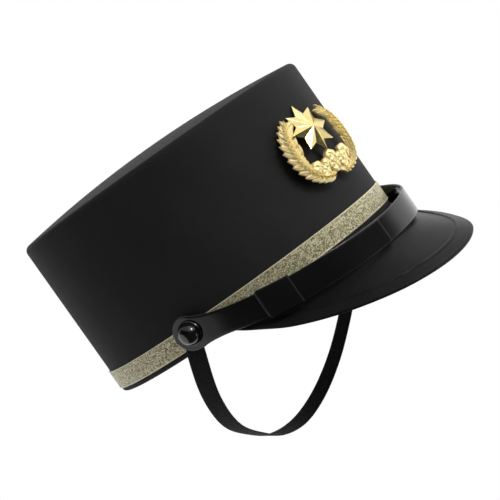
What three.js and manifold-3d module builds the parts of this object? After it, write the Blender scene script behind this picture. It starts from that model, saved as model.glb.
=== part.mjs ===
// Conductor cap: a tall stiff crown with a gold ribbon, a moulded visor, a two-piece front strap
// between two side buttons, a chin strap and a cast badge of a star in a laurel wreath.
// Millimetres, +Z up, the front faces -Y, and the wearer's right is -X.
// The origin is the middle of the head opening, in the plane of the rim.

import * as THREE from 'three';
import { mergeVertices } from 'three/addons/utils/BufferGeometryUtils.js';
import Module from 'manifold-3d';

const wasm = await Module();
wasm.setup();

// Crown: oval in plan, straight sides, a slightly domed top
const CROWN_HALF_WIDTH = 91;
const CROWN_HALF_LENGTH = 99;
const CROWN_HEIGHT = 101;
const TOP_RISE = 6.6;
const SHOULDER_RADIUS = 4;
const CLOTH = 2.5;
const HEM_ROUND = 1.9;
const RIM_PITCH = 0.95;
const ROUND_STEPS = 72;
const CORNER_STEPS = 3;

// Clearance between pieces that touch on the real cap
const GAP = 0.3;

// Gold ribbon round the foot of the crown
const RIBBON_FOOT = 3.1;
const RIBBON_WIDTH = 11.8;
const RIBBON_THICK = 0.6;

// Visor
const VISOR_REACH = 41;
const VISOR_DROP = 36.3;
const VISOR_TURN = 61;
const VISOR_THICK = 1.6;
const FLANGE_RISE = 8;
const VISOR_STEPS = 38;
const BEAD_INSET = 9;
const BEAD_PROUD = 0.5;
const BEAD_HALF_SHARE = 1 / 12;

// Side buttons, and the holes that their posts pass through
const BUTTON_TURN = 73.3;
const BUTTON_HEIGHT = 10.9;
const BUTTON_RADIUS = 6.2;
const BUTTON_DOME = 5.8;
const BASE_RADIUS = 7.25;
const BASE_THICK = 1.4;
const POST_RADIUS = 1.5;
const RIVET_RADIUS = 4.5;
const RIVET_THICK = 1.2;
const BUTTON_EASE = 0.4;
const BUTTON_STEPS = 18;
const DOME_STEPS = 5;
const PIN_STEPS = 14;

// Front strap: two halves, the right one lying over the left one between the keeper and its own end
const STRAP_WIDTH = 15.2;
const STRAP_THICK = 1.2;
const STRAP_STAND_OFF = 13;
const STRAP_DIP = 16.6;
const STRAP_STEP_TURN = 3;
const TAB_RADIUS = 10.3;
const TAB_STEPS = 7;
const TAB_END_HALF = 0.6;
const PARTING_FROM_TURN = 6;
const PARTING_TO_TURN = 26;
const RIGHT_STRAP_END_TURN = 3.3;
const LEFT_STRAP_END_TURN = 44;
const KEEPER_FRONT_TURN = 38.3;
const KEEPER_BACK_TURN = 52;
const KEEPER_CURVE_TURN = 3.5;
const KEEPER_THICK = 0.9;
const KEEPER_EASE = 1;
const KEEPER_INNER_EASE = 0.4;
const KEEPER_STEPS = 4;

// Chin strap: how far its loop hangs below the rim and swings to the back
const CHIN_WIDTH = 11;
const CHIN_THICK = 1;
const CHIN_DROP = 78.1;
const CHIN_SWING = 52.8;
const CHIN_TAIL = 6;
const CHIN_LEAN_TURN = 2.9;
const CHIN_STEPS = 66;

// Badge: its stand before the crown, the wreath with its window, star, foot and fixing posts
const BADGE_CENTRE = 55;
const BADGE_SIDE = 2;
const BADGE_BEND = 360;
const BADGE_LEAN = 4.4;
const BADGE_TURN = -5.5;
const BADGE_STAND_OFF = 2.6;
const BADGE_PLATE = 0.8;
const BADGE_HALF_WIDTH = 29.4;
const BADGE_HALF_HEIGHT = 23;
const WREATH_POWER = 2.37;
const WREATH_END = 140;
const WREATH_CROWN = 1.8;
const WREATH_INNER = 1.5;
const WREATH_STEPS = 26;
const WINDOW_HALF_WIDTH = 18.3;
const WINDOW_HALF_HEIGHT = 17.4;
const WINDOW_POWER = 3.8;
const WINDOW_SIDE = 1.6;
const LEAF_PAST = 2;
const LEAF_PAIRS = 12;
const LEAF_SLENDER = 0.43;
const LEAF_PROUD = 1.4;
const LEAF_FOOT = 1.3;
const LEAF_EDGE = 0.6;
const LEAF_FROM = 15;
const LEAF_TO = 130;
const STAR_SIDE = -0.9;
const STAR_RISE = 9.4;
const STAR_RADIUS = 15.6;
const STAR_VALLEY = 9.6;
const STAR_POINTS = 8;
const STAR_APEX = 6.1;
const STAR_EDGE = 2.4;
const STAR_THICK = 0.9;
const STAR_LEAN = 6.5;
const CLUSTER_HALF_WIDTH = 17;
const CLUSTER_HEIGHT = 3;
const LOBE_STEPS = 8;
const NOTCH_RADIUS = 7.8;
const NOTCH_DROP = 26.7;
const LOWER_POST_DROP = 12.5;
const BADGE_POST_RADIUS = 1.2;
const BADGE_POST_START = 2;
const NUT_RADIUS = 3.5;
const NUT_THICK = 1.5;

// Detail of the cast relief smaller than this is smoothed away
const FINEST = 0.02;

// Domed top from its shoulder to its middle: out is a share of the half length inside the shoulder
const TOP_RINGS = [{ out: 0.75 }, { out: 0.4 }, { out: 0 }];

// Visor outline, from the middle of the front to its corners:
// turn is a share of VISOR_TURN, reach of VISOR_REACH and drop of VISOR_DROP
const VISOR_OUTLINE = [
  { turn: 0, reach: 1, drop: 1 },
  { turn: 0.246, reach: 0.92, drop: 0.923 },
  { turn: 0.492, reach: 0.632, drop: 0.713 },
  { turn: 0.738, reach: 0.335, drop: 0.42 },
  { turn: 0.88, reach: 0.14, drop: 0.2 },
  { turn: 0.96, reach: 0.05, drop: 0.08 },
  { turn: 1, reach: 0.02, drop: 0.01 },
];

// Visor profile from the rim to the edge: out is a share of the reach, and middle and side are
// shares of the drop at the front and toward the corners, where the sheet leaves the rim more
// steeply; VISOR_BLEND says how soon the side column takes over
const VISOR_BLEND = 1.6;
const VISOR_PROFILE = [
  { out: 0, middle: 0, side: 0 },
  { out: 0.15, middle: 0.23, side: 0.42 },
  { out: 0.3, middle: 0.4, side: 0.6 },
  { out: 0.55, middle: 0.615, side: 0.76 },
  { out: 0.78, middle: 0.8, side: 0.89 },
  { out: 0.9, middle: 0.9, side: 0.95 },
  { out: 1, middle: 1, side: 1 },
];

// Front strap from the middle of the front to the button: turn is a share of BUTTON_TURN,
// out of STRAP_STAND_OFF beyond the tab, rise of STRAP_DIP, wide of STRAP_WIDTH
const STRAP_COURSE = [
  { turn: 0, out: 0.9, rise: 0, wide: 0.97 },
  { turn: 0.27, out: 1, rise: 0.08, wide: 1 },
  { turn: 0.55, out: 0.64, rise: 0.28, wide: 1 },
  { turn: 0.75, out: 0.2, rise: 0.55, wide: 0.95 },
  { turn: 0.89, out: 0.04, rise: 0.79, wide: 1 },
  { turn: 1, out: 0, rise: 1, wide: 1.3 },
];

// Half of the front strap's section: through is a share of its thickness, up of its height
const STRAP_SECTION = [
  { through: -0.5, up: 0.44 },
  { through: -0.25, up: 0.5 },
  { through: 0.25, up: 0.5 },
  { through: 0.5, up: 0.44 },
];

// Tilt of the chin strap's width, in degrees, at its upper end, at the button and at the rim
const CHIN_START = [
  { lean: 0, turn: -15 },
  { lean: 0, turn: -15 },
  { lean: 2, turn: -13 },
];

// Chin strap from the rim to the middle of the loop: side is a share of the half width at the rim,
// back of CHIN_SWING, down of CHIN_DROP; lean and turn tilt the strap's width, in degrees
const CHIN_COURSE = [
  { side: 0.9, back: 0.375, down: 0.341, lean: 9, turn: -6 },
  { side: 0.716, back: 0.68, down: 0.633, lean: 16, turn: -7 },
  { side: 0.498, back: 0.828, down: 0.818, lean: 22, turn: -8 },
  { side: 0.266, back: 0.956, down: 0.949, lean: 26, turn: -4 },
  { side: 0, back: 1, down: 1, lean: 30, turn: 0 },
];

// Laurel leaf from its base to its tip: along is a share of its length, wide of its half width
const LEAF_SHAPE = [
  { along: 0, wide: 0 },
  { along: 0.25, wide: 0.85 },
  { along: 0.55, wide: 1 },
  { along: 1, wide: 0 },
];

// Ridge along the leaf: along is a share of its length, proud of LEAF_PROUD
const LEAF_RIDGE = [
  { along: 0.2, proud: 1 },
  { along: 0.7, proud: 0.9 },
];

// Outer and inner row of leaves: from and to are shares of the wreath's breadth, rake is the turn
// in degrees from a leaf's base to its tip, tip the share of its height left there
const LEAF_ROWS = [
  { from: 0.42, to: 1, rake: 11, tip: 0.5 },
  { from: 0.5, to: 0.1, rake: 10, tip: 1 },
];

// Lobes of the cluster at the foot: across and half are shares of CLUSTER_HALF_WIDTH, drop of
// BADGE_HALF_HEIGHT and proud of CLUSTER_HEIGHT
const LOBES = [
  { across: 0.05, drop: 0.42, half: 0.26, proud: 1 },
  { across: -0.31, drop: 0.53, half: 0.2, proud: 0.8 },
  { across: -0.76, drop: 0.53, half: 0.24, proud: 0.73 },
  { across: 0.42, drop: 0.54, half: 0.2, proud: 0.8 },
  { across: 0.8, drop: 0.44, half: 0.26, proud: 0.73 },
  { across: -0.54, drop: 0.7, half: 0.24, proud: 0.67 },
  { across: 0.56, drop: 0.68, half: 0.25, proud: 0.67 },
  { across: 0.02, drop: 0.66, half: 0.24, proud: 0.73 },
];

const radians = THREE.MathUtils.degToRad;
const RIM_SLOPE = Math.tan(radians(RIM_PITCH));

// Layers at the buttons, as distances out from the crown's cloth
const RIBBON_OUT = GAP + RIBBON_THICK;
const CHIN_MIDDLE = RIBBON_OUT + GAP + CHIN_THICK / 2;
const TAB_MIDDLE = CHIN_MIDDLE + CHIN_THICK / 2 + 2 * GAP + STRAP_THICK / 2;
const BASE_INNER = TAB_MIDDLE + STRAP_THICK / 2 + GAP;
const STRAP_FRONT_HEIGHT = BUTTON_HEIGHT - STRAP_DIP;
const LAYER_STEP = (STRAP_THICK + GAP) / 2;
const PER_DEGREE = radians(1) * CROWN_HALF_LENGTH;

// A point on the crown's oval, moved out along its normal; turn is in radians from the front,
// positive to the wearer's right
function ovalPoint(turn, out, height) {
  const nx = -Math.sin(turn) / CROWN_HALF_WIDTH;
  const ny = -Math.cos(turn) / CROWN_HALF_LENGTH;
  const length = Math.hypot(nx, ny);
  const x = -CROWN_HALF_WIDTH * Math.sin(turn) + (out * nx) / length;
  const y = -CROWN_HALF_LENGTH * Math.cos(turn) + (out * ny) / length;
  return new THREE.Vector3(x, y, height);
}

function ovalNormal(turn) {
  return ovalPoint(turn, 1, 0).sub(ovalPoint(turn, 0, 0));
}

// The rim is pitched a little, so the front sits higher; the pitch fades out up the crown
function pitched(point) {
  const start = RIBBON_FOOT + RIBBON_WIDTH;
  const fade = THREE.MathUtils.clamp((CROWN_HEIGHT - point.z) / (CROWN_HEIGHT - start), 0, 1);
  point.z -= point.y * RIM_SLOPE * fade;
  return point;
}

// Smooth reading of one column of a table at a value of its key column
function read(table, key, column, at) {
  const last = table.length - 1;
  let i = 0;
  while (i < last - 1 && at > table[i + 1][key]) i += 1;
  const slope = (k) => {
    const a = table[Math.max(k - 1, 0)];
    const b = table[Math.min(k + 1, last)];
    return (b[column] - a[column]) / (b[key] - a[key]);
  };
  const span = table[i + 1][key] - table[i][key];
  const t = THREE.MathUtils.clamp((at - table[i][key]) / span, 0, 1);
  const startSlope = i === 0 && table[0][key] === 0 ? 0 : slope(i);
  return (
    (2 * t ** 3 - 3 * t ** 2 + 1) * table[i][column] +
    (t ** 3 - 2 * t ** 2 + t) * span * startSlope +
    (3 * t ** 2 - 2 * t ** 3) * table[i + 1][column] +
    (t ** 3 - t ** 2) * span * slope(i + 1)
  );
}

// Moves every vertex of a geometry by a function of its position
function shaped(geometry, place) {
  const position = geometry.attributes.position;
  const point = new THREE.Vector3();
  for (let i = 0; i < position.count; i += 1) {
    point.fromBufferAttribute(position, i);
    const moved = place(point.x, point.y, point.z);
    position.setXYZ(i, moved.x, moved.y, moved.z);
  }
  return geometry;
}

// One solid from a closed geometry, with its faces pointing out
function solid(geometry) {
  const bare = geometry.clone();
  bare.deleteAttribute('normal');
  bare.deleteAttribute('uv');
  const merged = mergeVertices(bare, 1e-4);
  const vertProperties = new Float32Array(merged.attributes.position.array);
  const triVerts = new Uint32Array(kept(merged.index.array));
  if (enclosed(vertProperties, triVerts) < 0) flip(triVerts);
  return new wasm.Manifold(new wasm.Mesh({ numProp: 3, vertProperties, triVerts }));
}

// Triangles that still have three different corners after merging
function kept(index) {
  const triangles = [];
  for (let i = 0; i < index.length; i += 3) {
    const [a, b, c] = [index[i], index[i + 1], index[i + 2]];
    if (a !== b && b !== c && a !== c) triangles.push(a, b, c);
  }
  return triangles;
}

function enclosed(points, triangles) {
  const corner = (i) => new THREE.Vector3().fromArray(points, triangles[i] * 3);
  let volume = 0;
  for (let i = 0; i < triangles.length; i += 3) {
    volume += corner(i).dot(corner(i + 1).cross(corner(i + 2))) / 6;
  }
  return volume;
}

function flip(triangles) {
  for (let i = 0; i < triangles.length; i += 3) {
    [triangles[i], triangles[i + 1]] = [triangles[i + 1], triangles[i]];
  }
}

function geometryOf(manifold) {
  const { vertProperties, triVerts } = manifold.getMesh();
  const geometry = new THREE.BufferGeometry();
  geometry.setAttribute('position', new THREE.BufferAttribute(vertProperties, 3));
  geometry.setIndex(new THREE.BufferAttribute(triVerts, 1));
  geometry.computeVertexNormals();
  return geometry;
}

// A closed ring round the crown from a profile of [distance out, height] pairs
function ovalRing(profile) {
  const points = profile.map(([out, height]) => new THREE.Vector2(CROWN_HALF_LENGTH + out, height));
  points.push(points[0].clone());
  const ring = new THREE.LatheGeometry(points, ROUND_STEPS);
  return shaped(ring, (x, y, z) => {
    const turn = Math.atan2(x, z);
    return pitched(ovalPoint(turn, Math.hypot(x, z) - CROWN_HALF_LENGTH, y));
  });
}

// Corner points of a quarter circle that turns down from a level edge to an upright one
function quarter(outerOut, topHeight, radius) {
  const points = [];
  for (let i = 0; i <= CORNER_STEPS; i += 1) {
    const angle = ((i / CORNER_STEPS) * Math.PI) / 2;
    points.push([
      outerOut - radius * (1 - Math.sin(angle)),
      topHeight - radius * (1 - Math.cos(angle)),
    ]);
  }
  return points;
}

// A round pin or hole whose axis starts at a point and runs along a direction
function pin(radius, from, direction, length) {
  const shape = new THREE.CylinderGeometry(radius, radius, length, PIN_STEPS);
  const axis = direction.clone().normalize();
  const turn = new THREE.Quaternion().setFromUnitVectors(new THREE.Vector3(0, 1, 0), axis);
  shape.applyQuaternion(turn);
  const middle = from.clone().addScaledVector(axis, length / 2);
  shape.translate(middle.x, middle.y, middle.z);
  return solid(shape);
}

// Where the button's axis meets the crown's cloth, on the wearer's right (1) or left (-1)
function buttonSeat(side) {
  return pitched(ovalPoint(side * radians(BUTTON_TURN), 0, BUTTON_HEIGHT));
}

function buttonHole(side) {
  const normal = ovalNormal(side * radians(BUTTON_TURN));
  const reach = CLOTH + BASE_INNER;
  const from = buttonSeat(side).addScaledVector(normal, -2 * CLOTH);
  return pin(POST_RADIUS + GAP, from, normal, 3 * reach);
}

// The badge is drawn flat: across, up, and depth toward the viewer. This stands a point of it
// before the crown, turned a little, leaning back at the top and bent back at the sides.
function badgePoint(across, up, depth) {
  const turn = radians(BADGE_TURN);
  const x = across * Math.cos(turn) - up * Math.sin(turn);
  const z = across * Math.sin(turn) + up * Math.cos(turn);
  const back = (x * x) / (2 * BADGE_BEND) + z * Math.sin(radians(BADGE_LEAN));
  return new THREE.Vector3(x, back - BADGE_STAND_OFF - depth, z);
}

// The badge's posts stand behind the star and behind the cluster at the foot of the wreath
const badgePosts = [
  badgePoint(STAR_SIDE, STAR_RISE, BADGE_POST_START),
  badgePoint(0, -LOWER_POST_DROP, BADGE_POST_START),
];
const badgeSeat = new THREE.Vector3(BADGE_SIDE, -CROWN_HALF_LENGTH, BADGE_CENTRE);

function badgeHole(post) {
  const from = post.clone().add(badgeSeat).setY(-CROWN_HALF_LENGTH + 2 * CLOTH);
  return pin(BADGE_POST_RADIUS + GAP, from, new THREE.Vector3(0, -1, 0), 4 * CLOTH);
}

// Upright side of the crown, with its lower edge turned in
function crownWall() {
  const top = CROWN_HEIGHT - SHOULDER_RADIUS - GAP;
  const hem = quarter(0, 0, HEM_ROUND).map(([out, height]) => [out, -height]).reverse();
  const ring = ovalRing([
    [0, top],
    [0, RIBBON_FOOT + RIBBON_WIDTH],
    ...hem,
    [-CLOTH, 0],
    [-CLOTH, RIBBON_FOOT + RIBBON_WIDTH],
    [-CLOTH, top],
  ]);
  let wall = solid(ring);
  for (const side of [1, -1]) wall = wall.subtract(buttonHole(side));
  for (const post of badgePosts) wall = wall.subtract(badgeHole(post));
  return geometryOf(wall);
}

// Domed top with a rounded shoulder that meets the side
function crownTop() {
  const shoulder = quarter(CROWN_HALF_LENGTH, CROWN_HEIGHT, SHOULDER_RADIUS).reverse();
  const flat = CROWN_HALF_LENGTH - SHOULDER_RADIUS;
  const dome = (share) => CROWN_HEIGHT + TOP_RISE * (1 - share ** 2);
  const outer = TOP_RINGS.map(({ out }) => [flat * out, dome(out)]);
  const inner = TOP_RINGS.map(({ out }) => [flat * out, dome(out) - CLOTH]).reverse();
  const edge = CROWN_HALF_LENGTH - CLOTH;
  const profile = [
    ...shoulder,
    ...outer,
    ...inner,
    [flat, CROWN_HEIGHT - CLOTH],
    [edge, CROWN_HEIGHT - SHOULDER_RADIUS],
    shoulder[0],
  ].map(([radius, height]) => new THREE.Vector2(radius, height));
  const lid = new THREE.LatheGeometry(profile, ROUND_STEPS);
  const across = CROWN_HALF_WIDTH / CROWN_HALF_LENGTH;
  return geometryOf(solid(shaped(lid, (x, y, z) => new THREE.Vector3(x * across, z, y))));
}

function goldRibbon() {
  const top = RIBBON_FOOT + RIBBON_WIDTH;
  let ring = solid(
    ovalRing([
      [GAP, RIBBON_FOOT],
      [RIBBON_OUT, RIBBON_FOOT],
      [RIBBON_OUT, top],
      [GAP, top],
    ]),
  );
  for (const side of [1, -1]) ring = ring.subtract(buttonHole(side));
  return geometryOf(ring);
}

// Middle of the visor's sheet as [distance out, height] pairs, from the flange inside the crown
// down past the rim and out to the edge
function visorSection(turnShare) {
  const half = VISOR_THICK / 2;
  const reach = VISOR_REACH * read(VISOR_OUTLINE, 'turn', 'reach', turnShare);
  const drop = VISOR_DROP * read(VISOR_OUTLINE, 'turn', 'drop', turnShare);
  const inside = -CLOTH - GAP - half;
  const below = -GAP - half;
  const bead = 1 - BEAD_INSET / Math.hypot(VISOR_REACH, VISOR_DROP);
  const sheet = VISOR_PROFILE.map(({ out, middle, side }) => {
    const down = THREE.MathUtils.lerp(middle, side, Math.min(1, VISOR_BLEND * turnShare ** 2));
    const near = Math.max(0, 1 - Math.abs(out - bead) / BEAD_HALF_SHARE);
    const proud = BEAD_PROUD * near * (drop / VISOR_DROP);
    return [reach * out + proud, below - drop * down + proud];
  });
  return [[inside, FLANGE_RISE], [inside, below], ...sheet];
}

// Corner i of an open line of [x, y] pairs, moved square to both of its sides by a distance
function mitred(line, i, shift) {
  const run = (a, b) => new THREE.Vector2(b[0] - a[0], b[1] - a[1]).normalize();
  const before = run(line[Math.max(i - 1, 0)], line[Math.max(i, 1)]);
  const after = run(line[Math.min(i, line.length - 2)], line[Math.min(i + 1, line.length - 1)]);
  const middle = before.clone().add(after).normalize();
  const far = shift / middle.dot(after);
  return [line[i][0] - middle.y * far, line[i][1] + middle.x * far];
}

function visor() {
  const rows = VISOR_PROFILE.length + 1;
  const sheet = new THREE.BoxGeometry(2, 1, 1, VISOR_STEPS, rows, 1);
  return geometryOf(
    solid(
      shaped(sheet, (across, down, through) => {
        const section = visorSection(Math.abs(across));
        const i = Math.round((0.5 - down) * rows);
        const [out, height] = mitred(section, i, through * VISOR_THICK);
        return pitched(ovalPoint(across * radians(VISOR_TURN), out, height));
      }),
    ),
  );
}

// The front strap's middle line and width at a turn in degrees from the front
function strapAt(degrees) {
  const share = Math.min(Math.abs(degrees) / BUTTON_TURN, 1);
  return {
    out: TAB_MIDDLE + (STRAP_STAND_OFF - TAB_MIDDLE) * read(STRAP_COURSE, 'turn', 'out', share),
    height: STRAP_FRONT_HEIGHT + STRAP_DIP * read(STRAP_COURSE, 'turn', 'rise', share),
    width: STRAP_WIDTH * read(STRAP_COURSE, 'turn', 'wide', share),
  };
}

// Half the strap's height beyond and just before the button, where it is a round tab
function tabHalfHeight(distance) {
  return TAB_RADIUS * Math.sqrt(Math.max(0, 1 - (distance / TAB_RADIUS) ** 2));
}

// Cross-section of a flat strap: unit height, unit thickness, with eased edges
function strapSection() {
  const upper = STRAP_SECTION.map(({ through, up }) => new THREE.Vector2(through, up));
  const lower = STRAP_SECTION.map(({ through, up }) => new THREE.Vector2(-through, -up));
  return new THREE.Shape([...upper, ...lower]);
}

// Turns in degrees from the round end of the tab to the strap's other end, closer on the tab
function strapTurns(end) {
  const turns = [];
  for (let i = 0; i < TAB_STEPS; i += 1) {
    const angle = ((i / TAB_STEPS) * Math.PI) / 2;
    turns.push(BUTTON_TURN + (TAB_RADIUS / PER_DEGREE) * Math.cos(angle));
  }
  const steps = Math.round((BUTTON_TURN - end) / STRAP_STEP_TURN);
  for (let i = 0; i <= steps; i += 1) {
    turns.push(BUTTON_TURN + ((end - BUTTON_TURN) * i) / steps);
  }
  return turns;
}

// One half of the front strap; layer is +1 where it lies outside the other half, -1 inside
function frontStrap(side, end, layer) {
  const turns = strapTurns(end);
  const strip = new THREE.ExtrudeGeometry(strapSection(), {
    depth: 1,
    steps: turns.length - 1,
    bevelEnabled: false,
  });
  const bent = shaped(strip, (through, up, along) => {
    const degrees = turns[Math.round(along * (turns.length - 1))];
    const course = strapAt(degrees);
    const past = (degrees - BUTTON_TURN) * PER_DEGREE;
    const round = Math.max(tabHalfHeight(past), TAB_END_HALF);
    const half = past > 0 ? round : Math.max(course.width / 2, past > -TAB_RADIUS ? round : 0);
    const before = BUTTON_TURN - Math.abs(degrees);
    const parted = THREE.MathUtils.smoothstep(before, PARTING_FROM_TURN, PARTING_TO_TURN);
    const out = course.out + layer * LAYER_STEP * parted + through * STRAP_THICK;
    const height = course.height + up * 2 * half;
    return pitched(ovalPoint(side * radians(degrees), out, height));
  });
  return geometryOf(solid(bent).subtract(buttonHole(side)));
}

// Keeper: a flat loop round both straps, straight at the front and rounded at the back
function strapKeeper() {
  const innerHalf = STRAP_THICK + GAP / 2 + GAP;
  const outerHalf = innerHalf + KEEPER_THICK;
  const middle = strapAt((KEEPER_FRONT_TURN + KEEPER_BACK_TURN) / 2);
  const innerHeight = middle.width / 2 + GAP;
  const outerHeight = innerHeight + KEEPER_THICK;
  const eased = (x, y, ease) => [
    [x, y - ease],
    [x - ease, y],
    [ease - x, y],
    [-x, y - ease],
    [-x, ease - y],
    [ease - x, -y],
    [x - ease, -y],
    [x, ease - y],
  ];
  const points = (pairs) => pairs.map(([x, y]) => new THREE.Vector2(x, y));
  const shape = new THREE.Shape(points(eased(outerHalf, outerHeight, KEEPER_EASE)));
  shape.holes.push(new THREE.Path(points(eased(innerHalf, innerHeight, KEEPER_INNER_EASE))));
  const loop = new THREE.ExtrudeGeometry(shape, {
    depth: 1,
    steps: KEEPER_STEPS,
    bevelEnabled: false,
  });
  return geometryOf(
    solid(
      shaped(loop, (through, up, along) => {
        const back = KEEPER_BACK_TURN - KEEPER_CURVE_TURN * (up / outerHeight) ** 2;
        const degrees = THREE.MathUtils.lerp(KEEPER_FRONT_TURN, back, along);
        const course = strapAt(degrees);
        return pitched(ovalPoint(radians(degrees), course.out + through, course.height + up));
      }),
    ),
  );
}

// Domed button on a flat base, its post through the straps and the crown, and the rivet head inside
function button() {
  const points = [new THREE.Vector2(0, -CLOTH - GAP - RIVET_THICK)];
  const add = (radius, height) => points.push(new THREE.Vector2(radius, height));
  add(RIVET_RADIUS, -CLOTH - GAP - RIVET_THICK);
  add(RIVET_RADIUS, -CLOTH - GAP);
  add(POST_RADIUS, -CLOTH - GAP);
  add(POST_RADIUS, BASE_INNER);
  add(BASE_RADIUS - BUTTON_EASE, BASE_INNER);
  add(BASE_RADIUS, BASE_INNER + BASE_THICK / 2);
  add(BASE_RADIUS - BUTTON_EASE, BASE_INNER + BASE_THICK);
  for (let i = 0; i < DOME_STEPS; i += 1) {
    const angle = ((i / DOME_STEPS) * Math.PI) / 2;
    add(BUTTON_RADIUS * Math.cos(angle), BASE_INNER + BASE_THICK + BUTTON_DOME * Math.sin(angle));
  }
  add(0, BASE_INNER + BASE_THICK + BUTTON_DOME);
  return geometryOf(solid(new THREE.LatheGeometry(points, BUTTON_STEPS)));
}

// The chin strap's route from its upper end behind one tab to the middle of the loop
function chinRoute() {
  const out = (turn, height) => pitched(ovalPoint(radians(turn), CHIN_MIDDLE, height));
  const atButton = out(BUTTON_TURN, BUTTON_HEIGHT);
  const atRim = out(BUTTON_TURN + CHIN_LEAN_TURN, GAP);
  const tail = atButton.clone().sub(atRim).setLength(CHIN_TAIL).add(atButton);
  const rows = [tail, atButton, atRim].map((point, i) => ({ point, ...CHIN_START[i] }));
  for (const row of CHIN_COURSE) {
    const point = new THREE.Vector3(
      atRim.x * row.side,
      atRim.y + CHIN_SWING * row.back,
      -CHIN_DROP * row.down,
    );
    rows.push({ point, lean: row.lean, turn: row.turn });
  }
  return rows;
}

function chinStrap() {
  const half = chinRoute();
  const mirrored = half.slice(0, -1).reverse().map(({ point, lean, turn }) => ({
    point: new THREE.Vector3(-point.x, point.y, point.z),
    lean,
    turn: -turn,
  }));
  const rows = [...half, ...mirrored];
  const curve = new THREE.CatmullRomCurve3(rows.map((row) => row.point), false, 'centripetal');
  const width = new THREE.Vector3();
  const band = new THREE.BoxGeometry(1, 1, 1, 1, 1, CHIN_STEPS);
  const bent = shaped(band, (across, through, along) => {
    const t = along + 0.5;
    const tangent = curve.getTangent(t);
    const place = t * (rows.length - 1);
    const i = Math.min(Math.floor(place), rows.length - 2);
    const blend = place - i;
    const lean = radians(THREE.MathUtils.lerp(rows[i].lean, rows[i + 1].lean, blend));
    const turn = radians(THREE.MathUtils.lerp(rows[i].turn, rows[i + 1].turn, blend));
    width.set(Math.sin(turn), Math.cos(turn) * Math.cos(lean), Math.cos(turn) * Math.sin(lean));
    width.addScaledVector(tangent, -width.dot(tangent)).normalize();
    const normal = tangent.clone().cross(width);
    return curve
      .getPoint(t)
      .addScaledVector(width, across * CHIN_WIDTH)
      .addScaledVector(normal, through * CHIN_THICK);
  });
  let strap = solid(bent);
  for (const side of [1, -1]) strap = strap.subtract(buttonHole(side));
  return geometryOf(strap);
}

function bentPiece(geometry) {
  return solid(shaped(geometry, badgePoint));
}

// A point on a squared oval, seen from its middle at a turn in radians from its foot
function squaredOval(turn, halfWidth, halfHeight, power) {
  const [x, y] = [Math.sin(turn), -Math.cos(turn)];
  const sum = Math.abs(x / halfWidth) ** power + Math.abs(y / halfHeight) ** power;
  const reach = sum ** (-1 / power);
  return [reach * x, reach * y];
}

// A point of the wreath in the badge's flat frame: share runs from the window's edge (0) to the
// tips of the leaves (1)
function wreathPoint(turn, share) {
  const outer = squaredOval(turn, BADGE_HALF_WIDTH, BADGE_HALF_HEIGHT, WREATH_POWER);
  const inner = squaredOval(turn, WINDOW_HALF_WIDTH, WINDOW_HALF_HEIGHT, WINDOW_POWER);
  const { lerp } = THREE.MathUtils;
  return [lerp(WINDOW_SIDE + inner[0], outer[0], share), lerp(inner[1], outer[1], share)];
}

// Body of the wreath, open at its top; its outer edge stays inside the tips of the leaves
function wreathBody() {
  const depths = [WREATH_INNER, WREATH_CROWN, BADGE_PLATE];
  return bentPiece(
    shaped(new THREE.BoxGeometry(1, 1, 1, 2, 1, WREATH_STEPS), (out, rise, along) => {
      const share = out + 0.5;
      const turn = 2 * along * radians(WREATH_END);
      const [across, up] = wreathPoint(turn, share);
      const past = LEAF_PAST * share * Math.abs(Math.sin(turn));
      const pull = 1 - past / Math.hypot(across, up);
      const depth = rise > 0 ? depths[Math.round(2 * share)] : 0;
      return new THREE.Vector3(across * pull, up * pull, depth);
    }),
  );
}

// A raised form on a closed outline: a low side wall, then facets up to a ridge or a point
function raisedFlat(outline, foot, edge, ridge) {
  const count = outline.length;
  const positions = [];
  for (const [x, y] of outline) positions.push(x, y, foot);
  for (const [x, y] of outline) positions.push(x, y, edge);
  const top = 2 * count;
  for (const [x, y, z] of ridge) positions.push(x, y, z);
  const bottom = top + ridge.length;
  positions.push(ridge[0][0], ridge[0][1], foot);
  const nearest = (i) => {
    const [x, y] = outline[i];
    const away = ridge.map(([rx, ry]) => Math.hypot(x - rx, y - ry));
    return top + away.indexOf(Math.min(...away));
  };
  const index = [];
  for (let i = 0; i < count; i += 1) {
    const j = (i + 1) % count;
    const [near, far] = [nearest(i), nearest(j)];
    index.push(i, j, count + j, i, count + j, count + i);
    index.push(count + i, count + j, near);
    if (near !== far) index.push(count + j, far, near);
    index.push(bottom, j, i);
  }
  const geometry = new THREE.BufferGeometry();
  geometry.setAttribute('position', new THREE.Float32BufferAttribute(positions, 3));
  geometry.setIndex(index);
  return geometry;
}

function raised(outline, foot, edge, ridge) {
  return bentPiece(raisedFlat(outline, foot, edge, ridge));
}

// A leaf from its base to its tip, where only a share of its height is left
function leaf(base, tip, tipShare) {
  const [dx, dy] = [tip[0] - base[0], tip[1] - base[1]];
  const right = LEAF_SHAPE.map(({ along, wide }) => [along, -wide]);
  const left = LEAF_SHAPE.slice(1, -1).map(({ along, wide }) => [along, wide]);
  const ridge = LEAF_RIDGE.map(({ along, proud }) => [along, 0, LEAF_FOOT + LEAF_PROUD * proud]);
  const outline = [...right, ...left.reverse()];
  const form = raisedFlat(outline, BADGE_PLATE / 2, LEAF_FOOT + LEAF_EDGE, ridge);
  return bentPiece(
    shaped(form, (along, wide, depth) => {
      const side = (wide * LEAF_SLENDER) / 2;
      const height = depth * THREE.MathUtils.lerp(1, tipShare, along);
      return new THREE.Vector3(
        base[0] + dx * along - dy * side,
        base[1] + dy * along + dx * side,
        height,
      );
    }),
  );
}

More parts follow.
